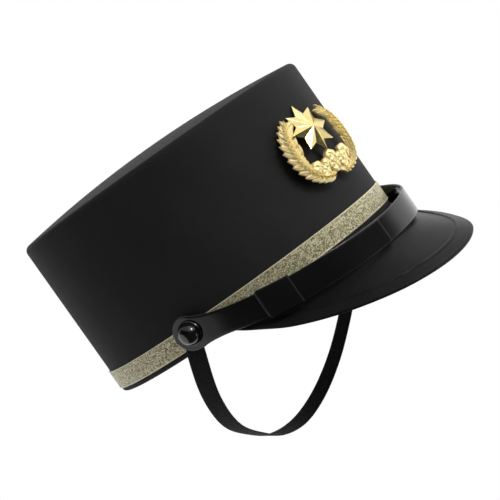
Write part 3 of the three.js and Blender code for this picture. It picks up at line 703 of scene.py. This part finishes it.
def crown():
    """Side, hem, shoulder and domed top of the crown as one cloth skin, hollow inside."""
    turn = around(ROUND_STEPS)[:, None]
    rings = []
    flat = (HALF_LENGTH - SHOULDER) / HALF_LENGTH
    for s in np.linspace(0, 1, 26)[:-1]:
        rings.append((s * flat, 0, CROWN_HEIGHT + TOP_RISE * (1 - s**2)))
    for over, down in bend(SHOULDER, 9):
        rings.append((1 - down / HALF_LENGTH, 0, CROWN_HEIGHT - over))
    for h in np.linspace(CROWN_HEIGHT - SHOULDER, HEM_ROUND, 50)[1:]:
        rings.append((1, 0, h))
    for over, down in bend(HEM_ROUND, 7)[1:]:
        rings.append((1, -over, down))
    for h in np.linspace(0, HEM_EDGE, 4)[1:]:
        rings.append((1, -CLOTH, h))
    for h in np.linspace(HEM_EDGE, CROWN_HEIGHT - SHOULDER, 20)[1:]:
        rings.append((1, -CLOTH, h))
    for s in np.linspace(1, 0, 16):
        rings.append((s * (1 - CLOTH / HALF_LENGTH), 0,
                      CROWN_HEIGHT - CLOTH + TOP_RISE * (1 - s**2)))
    share, out, height = np.array(rings).T[:, None]
    points = oval(turn, out, height)
    points[..., :2] *= share[..., None]
    points = pitched(points)
    shape, faces, corners = skin(points, closed=True, wrapped=False)
    # the cloth lies flat on the top as seen from above, and round the side in its real length
    count = len(rings)
    ring_steps = np.diff(np.concatenate([points, points[:1]]), axis=0)
    mean_ring = np.linalg.norm(ring_steps, axis=2).mean(1).sum()
    stretch = math.pi * (HALF_WIDTH + HALF_LENGTH) / mean_ring
    on_top = share[0] < 1
    fixed = []
    for face, cloth in zip(faces, corners):
        if all(on_top[vertex % count] for vertex in face):
            fixed.append([tuple(shape[vertex][:2]) for vertex in face])
        else:
            fixed.append([(u * stretch, v) for u, v in cloth])
    item = piece("crown", (shape, faces, fixed), crown_cloth(), smooth=60)
    item.data.materials.append(crown_inside())
    # faces that look into the crown take its inside's material
    within = 0.6 * CLOTH
    sides = []
    for polygon in item.data.polygons:
        c = polygon.center / MM
        reach = math.hypot(c.x / (HALF_WIDTH - within), c.y / (HALF_LENGTH - within))
        lid = CROWN_HEIGHT - within + TOP_RISE * (1 - min(reach, 1) ** 2)
        sides.append(1 if reach < 1 and c.z < lid and polygon.normal.z < 0.5 else 0)
    item.data.polygons.foreach_set("material_index", sides)
    return item


def ribbon():
    """Gold ribbon with raised selvages, lying on the cloth, and each point's place across it."""
    turn = around(ROUND_STEPS * 2)[:, None]
    half = RIBBON_WIDTH / 2
    across = np.linspace(-1, 1, 29)
    cord = SELVAGE_PROUD * np.exp(-(((1 - np.abs(across)) * half - SELVAGE_WIDTH / 2)
                                    / (SELVAGE_WIDTH / 2)) ** 2)
    rounded = RIBBON_EDGE_ROUND * smoothstep(np.abs(across), 0.97, 1.0)
    outer = [(RIBBON_THICK + c - r, a) for a, c, r in zip(across, cord, rounded)]
    inner = [(RIBBON_LIFT, a) for a in (0.99, 0, -0.99)]
    out = np.array([o for o, _ in outer + inner])[None, :]
    share = np.array([a for _, a in outer + inner])
    height = (RIBBON_FOOT + half + half * share)[None, :]
    points = pitched(oval(turn, out, height))
    return points, np.tile(share, len(points))


def visor_line(turn_share):
    """Middle line of the visor's section at a turn, flange, bend and sheet, and its relief."""
    reach = VISOR_REACH * read(VISOR_OUTLINE, 1, turn_share)
    drop = VISOR_DROP * read(VISOR_OUTLINE, 2, turn_share)
    inside = -CLOTH - GAP - VISOR_THICK / 2
    below = -GAP - VISOR_THICK / 2
    share = min(1.0, VISOR_BLEND * turn_share**2)
    out = np.linspace(0, 1, 56)
    down = read(VISOR_PROFILE, 1, out) * (1 - share) + read(VISOR_PROFILE, 2, out) * share
    sheet = np.stack([reach * out, below - drop * down], -1)
    run = np.linalg.norm(np.diff(sheet, axis=0), axis=1)
    left = np.concatenate([[0], np.cumsum(run)])
    left = left[-1] - left
    bead = np.exp(-(((left - BEAD_INSET) / (BEAD_HALF_WIDTH / 2)) ** 2))
    bead *= BEAD_PROUD * smoothstep(drop, *BEAD_FADE)
    rim = RIM_PROUD * np.exp(-((left / RIM_HALF_WIDTH) ** 2)) * smoothstep(drop, *RIM_FADE)
    flange = [(inside, h) for h in np.linspace(FLANGE_RISE, below + FLANGE_BEND, 6)]
    corner = [(inside + over, below + down) for over, down in bend(FLANGE_BEND, 6)[1:]]
    line = np.array(flange + corner + sheet.tolist())
    lift = np.concatenate([np.zeros(len(flange) + len(corner)), bead + rim])
    return line, lift


def visor():
    """Moulded visor: one sheet with a rolled edge and an embossed line."""
    rows = []
    for t in np.linspace(-1, 1, 181):
        line, lift = visor_line(abs(t))
        step = unit(np.gradient(line, axis=0))
        normal = np.stack([-step[:, 1], step[:, 0]], -1)
        half = VISOR_THICK / 2
        upper = line + normal * (half + lift)[:, None]
        lower = line - normal * half
        tip = line[-1] + step[-1] * VISOR_TIP
        middle = [tip + normal[-1] * (VISOR_TIP_HALF + lift[-1]), tip - normal[-1] * VISOR_TIP_HALF]
        section = np.concatenate([upper, middle, lower[::-1]])
        rows.append(pitched(oval(t * VISOR_TURN, section[:, 0], section[:, 1])))
    return np.array(rows)


def strap_at(degrees):
    """How far out the front strap runs at a turn from the front, its height and its width."""
    share = np.minimum(np.abs(degrees) / BUTTON_TURN, 1)
    out = TAB_MIDDLE + (STRAP_STAND_OFF - TAB_MIDDLE) * read(STRAP_COURSE, 1, share)
    height = STRAP_FRONT_HEIGHT + STRAP_DIP * read(STRAP_COURSE, 2, share)
    return out, height, STRAP_WIDTH * read(STRAP_COURSE, 3, share)


def strap_section(half):
    """Closed section of a flat strap as (through, up) pairs with rounded edges."""
    pairs = []
    for number, corner in enumerate(rounded_corners(STRAP_THICK / 2, half, STRAP_ROUND, 4)):
        pairs += corner
        if number in (1, 3):
            through, up = corner[-1]
            pairs += [(through, level) for level in np.linspace(up, -up, 10)[1:-1]]
    return np.array(pairs)


def front_strap(side, end):
    """One half of the front strap, round at its button and cut square at its other end.

    The second result marks the points on a cut edge.
    """
    tab = BUTTON_TURN + TAB_RADIUS / PER_DEGREE * np.cos(quarter(22)[:-1])
    run = np.linspace(BUTTON_TURN, end, int(abs(BUTTON_TURN - end) / STRAP_STEP) + 1)
    turns = np.concatenate([tab, run])
    past = (turns - BUTTON_TURN) * PER_DEGREE / TAB_RADIUS
    rows = []
    for degrees, radii in zip(turns, past):
        out, height, width = strap_at(degrees)
        half = max(TAB_RADIUS * math.sqrt(max(0, 1 - radii**2)), TAB_END_HALF)
        if radii <= 0:
            half = max(width / 2, half)
        section = strap_section(half)
        parted = smoothstep(BUTTON_TURN - abs(degrees), *STRAP_PARTS)
        middle = out + side * LAYER_STEP * parted
        rows.append(pitched(oval(side * math.radians(degrees), middle + section[:, 0],
                                 height + section[:, 1])))
    rows = np.array(rows)
    waist = np.flatnonzero((past > TAB_WAIST[0]) & (past < TAB_WAIST[1]))
    for _ in range(6):
        for i in waist:
            rows[i] = (rows[i - 1] + rows[i] * 2 + rows[i + 1]) / 4
    edge = np.tile(np.abs(section[:, 1]) > half - CUT_EDGE, (len(rows), 1))
    edge[-1] = True
    return rows, edge.ravel()


def keeper():
    """Flat loop round both straps, rounded at its rear edge, and marks on its cut edges."""
    inner_half = STRAP_THICK + GAP / 2 + KEEPER_SLACK
    _, _, width = strap_at((KEEPER_FROM + KEEPER_TO) / 2)
    inner_height = width / 2 + KEEPER_PLAY
    top = inner_height + KEEPER_THICK
    outer = np.concatenate(
        rounded_corners(inner_half + KEEPER_THICK, top, KEEPER_OUTER_ROUND, 6))
    inside = np.concatenate(rounded_corners(inner_half, inner_height, KEEPER_INNER_ROUND, 6))
    eased = outer * (1 - KEEPER_EASE) + (outer + inside) / 2 * KEEPER_EASE
    alongs = np.linspace(0, 1, 17)
    lip = KEEPER_LIP / ((KEEPER_TO - KEEPER_FROM) * PER_DEGREE)
    stations = [(0, eased)] + [(a, outer) for a in np.clip(alongs, lip, 1 - lip)] + [(1, eased)]
    stations += [(a, inside) for a in alongs[::-1]]
    rows = []
    for along, section in stations:
        back = KEEPER_TO - KEEPER_CURVE * (section[:, 1] / top) ** 2
        degrees = KEEPER_FROM + (back - KEEPER_FROM) * along
        out, height, _ = strap_at(degrees)
        rows.append(pitched(oval(np.radians(degrees), out + section[:, 0], height + section[:, 1])))
    edge = np.zeros((len(rows), len(outer)))
    edge[[0, 1, len(alongs), len(alongs) + 1]] = 1
    return np.array(rows), edge.ravel()


def button_shape():
    """Section of the button turned about its axis, the axis along +Z from the cloth out."""
    rivet = -CLOTH - GAP - RIVET_THICK
    profile = [(0, rivet)]
    profile += [(RIVET_RADIUS - inward, rivet + outward) for inward, outward in RIVET_EDGE]
    profile += [(POST_RADIUS, -CLOTH - GAP), (POST_RADIUS, BASE_INNER)]
    profile += [(BASE_RADIUS - inward, BASE_INNER + outward) for inward, outward in BASE_EDGE]
    face = BASE_INNER + BASE_THICK
    profile.append((BUTTON_RADIUS + GROOVE_WIDTH, face - GROOVE_DEPTH))
    for a in quarter(20):
        profile.append((BUTTON_RADIUS * math.cos(a),
                        face - DOME_SINK + (BUTTON_DOME + DOME_SINK) * math.sin(a)))
    radius, height = np.array(profile).T
    angle = around(64)[:, None]
    return np.stack(np.broadcast_arrays(
        radius * np.cos(angle), radius * np.sin(angle), height), -1)


def button(side):
    """The button's section stood on the crown at its side."""
    turn = side * math.radians(BUTTON_TURN)
    seat = pitched(oval(turn, 0, BUTTON_HEIGHT))
    normal = oval(turn, 1, 0) - oval(turn, 0, 0)
    swing = np.array(Vector((0, 0, 1)).rotation_difference(Vector(normal)).to_matrix())
    return button_shape() @ swing.T + seat


def spline(points, at):
    """Centripetal Catmull-Rom curve through points, at shares 0..1 of its segments."""
    points = np.asarray(points, float)
    n = len(points)
    first, last = 2 * points[0] - points[1], 2 * points[-1] - points[-2]
    p = np.concatenate([[first], points, [last]])
    result = []
    for t in at:
        place_at = (n - 1) * t
        i = min(int(place_at), n - 2)
        w = place_at - i
        a, b, c, d = p[i:i + 4]
        d0, d1, d2 = (max(np.linalg.norm(y - x), 1e-4) ** 0.5 for x, y in ((a, b), (b, c), (c, d)))
        m1 = ((b - a) / d0 - (c - a) / (d0 + d1) + (c - b) / d1) * d1
        m2 = ((c - b) / d1 - (d - b) / (d1 + d2) + (d - c) / d2) * d1
        result.append(b + m1 * w + (-3 * b + 3 * c - 2 * m1 - m2) * w**2
                      + (2 * b - 2 * c + m1 + m2) * w**3)
    return np.array(result)


def chin_strap():
    """Loop of elastic from behind one tab to the other, and each point's place across it."""
    at_button = pitched(oval(math.radians(BUTTON_TURN), CHIN_MIDDLE, BUTTON_HEIGHT))
    at_rim = pitched(oval(math.radians(BUTTON_TURN + CHIN_LEAN), CHIN_MIDDLE, GAP))
    tail = at_button + unit(at_button - at_rim) * CHIN_TAIL
    rows = [(tail, *CHIN_START[0]), (at_button, *CHIN_START[1]), (at_rim, *CHIN_START[2])]
    for side, back, down, lean, turn in CHIN_COURSE:
        point = np.array([at_rim[0] * side, at_rim[1] + CHIN_SWING * back, -CHIN_DROP * down])
        rows.append((point, lean, turn))
    mirror = np.array([-1, 1, 1])
    rows += [(p * mirror, lean, -turn) for p, lean, turn in rows[:-1][::-1]]
    at = np.linspace(0, 1, CHIN_STEPS)
    line = spline([r[0] for r in rows], at)
    key = np.linspace(0, 1, len(rows))
    reach = 20
    kernel = np.exp(-np.linspace(-2, 2, 2 * reach + 1) ** 2)
    kernel /= kernel.sum()
    tilt = []
    for column in (1, 2):
        values = np.interp(at, key, [r[column] for r in rows])
        tilt.append(np.radians(np.convolve(np.pad(values, reach, mode="edge"), kernel, "valid")))
    lean, turn = tilt
    tangent = unit(np.gradient(line, axis=0))
    width = np.stack([np.sin(turn), np.cos(turn) * np.cos(lean), np.cos(turn) * np.sin(lean)], -1)
    width = unit(width - tangent * (width * tangent).sum(1)[:, None])
    normal = np.cross(tangent, width)
    up = np.linspace(-1, 1, 13)
    thin = 1 - CHIN_EDGE_THIN * smoothstep(np.abs(up), CHIN_EDGE_FROM, 1.0)
    section = [(u, h) for u, h in zip(up, thin)] + [(u, -h) for u, h in zip(up[::-1], thin[::-1])]
    grid = np.stack([
        line + width * (u * CHIN_WIDTH / 2) + normal * (h * CHIN_THICK / 2) for u, h in section], 1)
    return grid, np.tile([u for u, _ in section], CHIN_STEPS)


# Badge shapes

def on_badge(points):
    """Stands the flat badge before the crown: across, up, depth toward the viewer."""
    points = np.asarray(points, float)
    across, up, depth = points[..., 0], points[..., 1], points[..., 2]
    x = across * math.cos(BADGE_ROLL) - up * math.sin(BADGE_ROLL)
    z = across * math.sin(BADGE_ROLL) + up * math.cos(BADGE_ROLL)
    back = x * x / (2 * BADGE_BEND) + z * math.sin(BADGE_LEAN)
    return np.stack([x, back - BADGE_STAND_OFF - depth, z], -1) + BADGE_SEAT


def squared_oval(turn, half_width, half_height, power):
    """A point on a squared oval, seen from its middle at a turn from its foot."""
    x, y = math.sin(turn), -math.cos(turn)
    reach = (abs(x / half_width) ** power + abs(y / half_height) ** power) ** (-1 / power)
    return np.array([reach * x, reach * y])


def wreath_point(turn, share):
    """A point of the wreath: share runs from the window's edge to the tips of the leaves."""
    outer = squared_oval(turn, BADGE_HALF_WIDTH, BADGE_HALF_HEIGHT, WREATH_POWER)
    inner = squared_oval(turn, WINDOW_HALF_WIDTH, WINDOW_HALF_HEIGHT, WINDOW_POWER)
    return (inner + (WINDOW_SIDE, 0)) * (1 - share) + outer * share


def leaf(base, tip, slender, tip_share, proud):
    """A pointed leaf with a midrib from its base to its tip, on a flat foot."""
    along = np.asarray(tip) - base
    beside = np.array([-along[1], along[0]]) * slender / 2
    across = np.linspace(-1, 1, 9)
    rib = LEAF_RIB * np.exp(-((across / LEAF_RIB_HALF_WIDTH) ** 2))
    dome = (1 - np.abs(across) ** 1.7) * LEAF_DOME + rib
    rows = []
    for s in np.linspace(0, 1, 11):
        # widest before the middle and pointed at both ends
        half = math.sin(math.pi * min(max(s, 0.02), 0.985) ** 0.85) ** 0.75
        swell = math.sin(math.pi * (0.12 + 0.8 * s)) ** 0.6
        left = 1 + (tip_share - 1) * s
        top = (LEAF_FOOT + LEAF_PROUD * proud * (LEAF_RIM + (1 - LEAF_RIM) * dome) * swell) * left
        places = np.array(base) + along * s + beside * half * across[:, None]
        upper = np.concatenate([places, top[:, None]], 1)
        lower = np.concatenate([places[[-1, 0]], [[PLATE / 2 * left]] * 2], 1)
        rows.append(np.concatenate([upper, lower]))
    return np.array(rows)


def depth_marks(grid, low, high):
    """How deep each point lies in the relief: 1 at the low level, 0 at the high one."""
    return np.clip((high - grid[..., 2]) / (high - low), 0, 1).ravel()


def wreath():
    """Open oval body of the wreath with its notch and rows of leaves, and marks of its depth for
    painted shade.
    """
    rows = []
    for turn in np.radians(np.linspace(-WREATH_END, WREATH_END, 181)):
        row = []
        for share, depth in WREATH_SECTION:
            point = wreath_point(turn, share)
            past = LEAF_PAST * share * abs(math.sin(turn))
            point = point * (1 - past / np.linalg.norm(point))
            if abs(point[0]) < NOTCH_RADIUS and point[1] < 0:
                arch = math.sqrt(NOTCH_RADIUS**2 - point[0] ** 2) - NOTCH_DROP
                point[1] = max(point[1], arch)
            row.append((*point, depth))
        rows.append(row)
    parts = [skin(on_badge(np.array(rows)))]
    shaded_hollow = [np.full(len(rows) * len(WREATH_SECTION), BODY_PAINTED_SHADE)]
    leaves = []
    for pairs, start, end, rake, slender, tip_share, proud in LEAF_ROWS:
        for turn in np.linspace(LEAF_FROM, LEAF_TO, pairs):
            leaves.append((turn, start, turn + rake, end, slender, tip_share, proud))
    leaves += [(*row, END_SLENDER, END_TIP, END_PROUD) for row in END_LEAVES]
    raised = LEAF_FOOT + LEAF_PROUD * LEAF_RAISED
    for side in (1, -1):
        for from_turn, start, to_turn, end, slender, tip_share, proud in leaves:
            base = wreath_point(side * math.radians(from_turn), start)
            tip = wreath_point(side * math.radians(to_turn), end)
            grid = leaf(base, tip, slender, tip_share, proud)
            parts.append(skin(on_badge(grid)))
            shaded_hollow.append(depth_marks(grid, LEAF_FOOT, raised) * LEAF_PAINTED_SHADE)
    return joined(parts), np.concatenate(shaded_hollow)


def star():
    """Eight-pointed star: a ridge on each ray up to the apex; it leans back at its top."""
    outline = []
    for i in range(2 * STAR_POINTS):
        radius = STAR_VALLEY if i % 2 else STAR_RADIUS
        turn = math.pi / 2 + i * math.pi / STAR_POINTS
        outline.append((radius * math.cos(turn), radius * math.sin(turn)))
    outline = np.array(outline)
    rows = []
    foot = STAR_EDGE - STAR_THICK
    for share, depth in ((0, foot), (1, foot), (1, STAR_EDGE), (0, STAR_APEX)):
        ring = outline * share
        leaned = depth - ring[:, 1] * math.tan(STAR_LEAN)
        rows.append(np.stack([ring[:, 0] + STAR_SIDE, ring[:, 1] + STAR_RISE, leaned], 1))
    return skin(on_badge(np.array(rows).transpose(1, 0, 2)), closed=True, wrapped=False)


def cluster():
    """Rosettes of ribbed petals that tie the branches at the foot, and marks of their depth for
    painted shade.
    """
    parts, shaded_hollow = [], []
    turn = around(80)
    for number, (across, drop, half, proud) in enumerate(LOBES):
        petals = np.cos(PETALS * turn + number)
        veins = np.cos(PETALS * VEINS * turn + number)
        middle = np.array([CLUSTER_HALF_WIDTH * across, -BADGE_HALF_HEIGHT * drop])
        radius, rise = CLUSTER_HALF_WIDTH * half, CLUSTER_HEIGHT * proud
        rows = []
        for share in np.linspace(1, 0, 14):
            scallop = 1 + SCALLOP * petals * share
            ribs = (PETAL_PROUD * petals + VEIN_PROUD * veins) * math.sin(math.pi * share)
            x = middle[0] + radius * share * scallop * np.sin(turn)
            y = middle[1] + radius * share * scallop * np.cos(turn)
            dome = ROSETTE_RIM + (1 - ROSETTE_RIM) * math.sqrt(1 - share**2)
            depth = PLATE + rise * dome + ribs
            rows.append(np.stack([x, y, depth], 1))
        foot = rows[0].copy()
        foot[:, 2] = PLATE / 2
        grid = np.array([foot] + rows)
        parts.append(skin(on_badge(grid)))
        marks = depth_marks(grid, PLATE + rise * 0.4, PLATE + rise * 0.95)
        shaded_hollow.append(marks * ROSETTE_PAINTED_SHADE)
    return joined(parts), np.concatenate(shaded_hollow)


def fixings():
    """The badge's two posts and nuts inside the crown."""
    parts = []
    nut = -HALF_LENGTH + CLOTH + GAP
    for place_on in ([STAR_SIDE, STAR_RISE, POST_START], [0, -LOWER_POST_DROP, POST_START]):
        start = on_badge(place_on)
        profile = [(0, start[1]), (BADGE_POST_RADIUS, start[1]), (BADGE_POST_RADIUS, nut)]
        profile += [(NUT_RADIUS - inward, nut + outward) for inward, outward in NUT_EDGE]
        profile.append((0, nut + NUT_THICK))
        rows = [[(start[0] + r * math.cos(a), y, start[2] + r * math.sin(a)) for r, y in profile]
                for a in around(32)]
        parts.append(skin(np.array(rows), closed=True, wrapped=False))
    return joined(parts)


# Assembly

def settle(item, slot, *nodes):
    """Puts a piece on the root, in place of the nodes that it stands for; slot is not used."""
    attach(item, "root")
    if nodes:
        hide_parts(*nodes)


visor_look = smooth_leather(
    "visor_leather", base=0.0085, roughness=0.34, coat=0.02, coat_roughness=0.22,
    specular=0.07, grain=0.4, waviness=0.8)
strap_look = smooth_leather(
    "strap_leather", base=0.005, roughness=0.14, coat=0.3, coat_roughness=0.06,
    specular=0.35, grain=0.1, waviness=0.5)
wreath_look = cast_gold("cast_gold", metallic=0.55, roughness=0.33, texture=0.3,
                        plain=(1.0, 0.87, 0.44, 1), rich=(1.0, 0.84, 0.38, 1))
star_look = cast_gold("star_gold", metallic=1.0, roughness=0.17, texture=0.04,
                      plain=(1.0, 0.84, 0.38, 1), rich=(1.0, 0.8, 0.33, 1))

settle(crown(), "crown_cloth", "crown_wall", "crown_top")

points, across = ribbon()
woven = piece("gold_ribbon_woven", skin(points, closed=True), ribbon_gold(),
              marks={"across": across})
settle(woven, "ribbon_gold", "gold_ribbon")

settle(piece("visor_moulded", skin(visor()), visor_look, smooth=50), "visor_leather", "visor")

for name, node, side, end in (("strap_right_half", "strap_right", 1, RIGHT_STRAP_END),
                              ("strap_left_half", "strap_left", -1, -LEFT_STRAP_END)):
    points, edge = front_strap(side, end)
    half = piece(name, skin(points), strap_look, smooth=50, marks={"edge": edge})
    settle(half, "strap_leather", node)
points, edge = keeper()
loop = piece("keeper_loop", skin(points, closed=True), strap_look, smooth=50,
             marks={"edge": edge})
settle(loop, "strap_leather", "strap_keeper")

button_look = gloss_black()
for name, side in (("button_right", 1), ("button_left", -1)):
    shape = skin(button(side), closed=True, wrapped=False)
    settle(piece(name + "_domed", shape, button_look), "button_black", name)

points, across = chin_strap()
elastic = piece("chin_strap_elastic", skin(points), elastic_black(), smooth=60,
                marks={"across": across})
settle(elastic, "elastic_black", "chin_strap")

shape, shaded_hollow = wreath()
branches = piece("badge_wreath", shape, wreath_look, smooth=50, marks={"shaded_hollow": shaded_hollow})
settle(branches, "badge_gold", "badge")
rays = piece("badge_star", star(), star_look, smooth=3)
bevel = rays.modifiers.new("polished_edges", "BEVEL")
bevel.width = STAR_BEVEL * MM
bevel.segments = 2
bevel.limit_method = "ANGLE"
bevel.angle_limit = math.radians(12)
settle(rays, "badge_gold")
shape, shaded_hollow = cluster()
settle(piece("badge_cluster", shape, wreath_look, smooth=50, marks={"shaded_hollow": shaded_hollow}),
       "badge_gold")
settle(piece("badge_fixings", fixings(), wreath_look), "badge_gold")


# Stage

# The photo's camera: angles, millimetres, and a focal length in pixels of the frame
VIEW_TURN = math.radians(48)
VIEW_TILT = math.radians(3.22)
VIEW_ROLL = math.radians(35)
DISTANCE = 1000.0
SHIFT_RIGHT = 13.01
SHIFT_UP = -23.52
LEVEL = 48.1
FOCAL = 1703.3
FRAME_PIXELS = 500
SENSOR = 36

# Where the tent's dark opening fades, along directions of the camera's own
OPENING_FRONT = (-0.4, -0.1)
OPENING_BRIM = (0.15, 0.27)
OPENING_LOWER_LEFT = (0.66, 0.84)
OPENING_RIGHT = (0.93, 0.98)
OPENING_STRENGTH = 0.04
BRIM_SLOPE = 0.5
BRIM_LEVEL_TO = 0.54
# Where its dimmer upper left part fades
DIMMED_RIGHT = (-0.35, 0.05)
DIMMED_TOP = (-0.4, 0.2)
DIMMED_STRENGTH = 0.45

FLOOR_LEVEL = -0.32
FLOOR_RADIUS = 12
AIM = Vector((0, -0.02, 0.03))

forward = Vector((math.sin(VIEW_TURN) * math.cos(VIEW_TILT),
                  math.cos(VIEW_TURN) * math.cos(VIEW_TILT), -math.sin(VIEW_TILT)))
right = Vector((math.cos(VIEW_TURN), -math.sin(VIEW_TURN), 0))
upward = right.cross(forward)
spot = Vector((0, 0, LEVEL)) - forward * DISTANCE + right * SHIFT_RIGHT + upward * SHIFT_UP
image_right = right * math.cos(VIEW_ROLL) - upward * math.sin(VIEW_ROLL)
image_up = right * math.sin(VIEW_ROLL) + upward * math.cos(VIEW_ROLL)

camera = linked("camera", bpy.data.cameras.new("camera"))
camera.data.sensor_width = SENSOR
camera.data.lens = FOCAL / FRAME_PIXELS * SENSOR
camera.data.clip_start = 0.05
camera.data.clip_end = 50
camera.matrix_world = Matrix((
    (image_right.x, image_up.x, -forward.x, spot.x * MM),
    (image_right.y, image_up.y, -forward.y, spot.y * MM),
    (image_right.z, image_up.z, -forward.z, spot.z * MM),
    (0, 0, 0, 1)))
bpy.context.scene.camera = camera


def softbox(name, across, up, near, distance, size, power):
    """A square light placed along the camera's own axes: across, up and near the camera."""
    data = bpy.data.lights.new(name, "AREA")
    data.shape = "SQUARE"
    data.size = size
    data.energy = power
    lamp = linked(name, data)
    away = (image_right * across + image_up * up - forward * near).normalized()
    lamp.location = AIM + away * distance
    lamp.rotation_mode = "QUATERNION"
    lamp.rotation_quaternion = away.to_track_quat("Z", "Y")
    return lamp


def product(tree, *values):
    """Values multiplied together."""
    result = values[0]
    for value in values[1:]:
        result = sums(tree, "MULTIPLY", result, value)
    return result


def white_tent():
    """A white tent all round, dark on the camera's side below the top, dimmer at its upper left."""
    world = bpy.data.worlds.new("white_tent")
    world.use_nodes = True
    tree = world.node_tree
    direction = add(tree, "TexCoord").outputs["Generated"]

    def toward(axis):
        """How far the looked-at direction points along an axis."""
        return add(tree, "VectorMath", {"operation": "DOT_PRODUCT"},
                   {0: direction, 1: tuple(axis)}).outputs["Value"]

    to_right = toward(image_right)
    to_top = toward(image_up)
    to_camera = toward(-forward)
    to_lower_left = toward(-(image_right + image_up) / math.sqrt(2))
    levelled = sums(tree, "MAXIMUM", to_right, BRIM_LEVEL_TO)
    brim = weighted(tree, to_top, (levelled, -BRIM_SLOPE))
    opening = product(tree, ranged(tree, to_camera, *OPENING_FRONT),
                      ranged(tree, brim, *OPENING_BRIM, 1.0, 0.0),
                      ranged(tree, to_lower_left, *OPENING_LOWER_LEFT, 1.0, 0.0),
                      ranged(tree, to_right, *OPENING_RIGHT, 1.0, 0.2))
    dimmed = product(tree, ranged(tree, to_right, *DIMMED_RIGHT, 1.0, 0.0),
                     ranged(tree, to_top, *DIMMED_TOP))
    tent = product(tree, ranged(tree, opening, 0.0, 1.0, 1.0, OPENING_STRENGTH),
                   ranged(tree, dimmed, 0.0, 1.0, 1.0, DIMMED_STRENGTH))
    path = add(tree, "LightPath").outputs["Is Camera Ray"]
    strength = add(tree, "Mix", {"data_type": "FLOAT"}, {0: path, 2: tent, 3: 1.0}).outputs[0]
    background = tree.nodes["Background"]
    background.inputs["Color"].default_value = (1, 1, 1, 1)
    tree.links.new(strength, background.inputs["Strength"])
    return world


def white_floor():
    """Plain floor seen by the camera alone and from above; the tent lights the cap past it."""
    mesh = bpy.data.meshes.new("floor")
    corners = [(FLOOR_RADIUS * math.cos(a), FLOOR_RADIUS * math.sin(a), FLOOR_LEVEL)
               for a in around(96)]
    mesh.from_pydata(corners, [], [tuple(range(len(corners)))])
    pale = bpy.data.materials.new("white_floor")
    pale.use_nodes = True
    tree = pale.node_tree
    glow = add(tree, "Emission", None, {"Color": (1, 1, 1, 1), "Strength": 1.0})
    clear = add(tree, "BsdfTransparent")
    from_above = sums(tree, "SUBTRACT", 1.0, add(tree, "NewGeometry").outputs["Backfacing"])
    seen = sums(tree, "MULTIPLY", add(tree, "LightPath").outputs["Is Camera Ray"], from_above)
    either = add(tree, "MixShader", None, {0: seen, 1: clear.outputs[0], 2: glow.outputs[0]})
    tree.links.new(either.outputs[0], tree.nodes["Material Output"].inputs["Surface"])
    tree.nodes.remove(tree.nodes["Principled BSDF"])
    mesh.materials.append(pale)
    return linked("floor", mesh)


softbox("key_light", across=0.36, up=0.74, near=0.57, distance=1.5, size=0.4, power=7)
fill = softbox("side_fill", across=0.9, up=0.35, near=0.25, distance=1.8, size=1.5, power=14)
fill.visible_glossy = False
bpy.context.scene.world = white_tent()
floor = white_floor()
bpy.context.scene.view_settings.view_transform = "Standard"
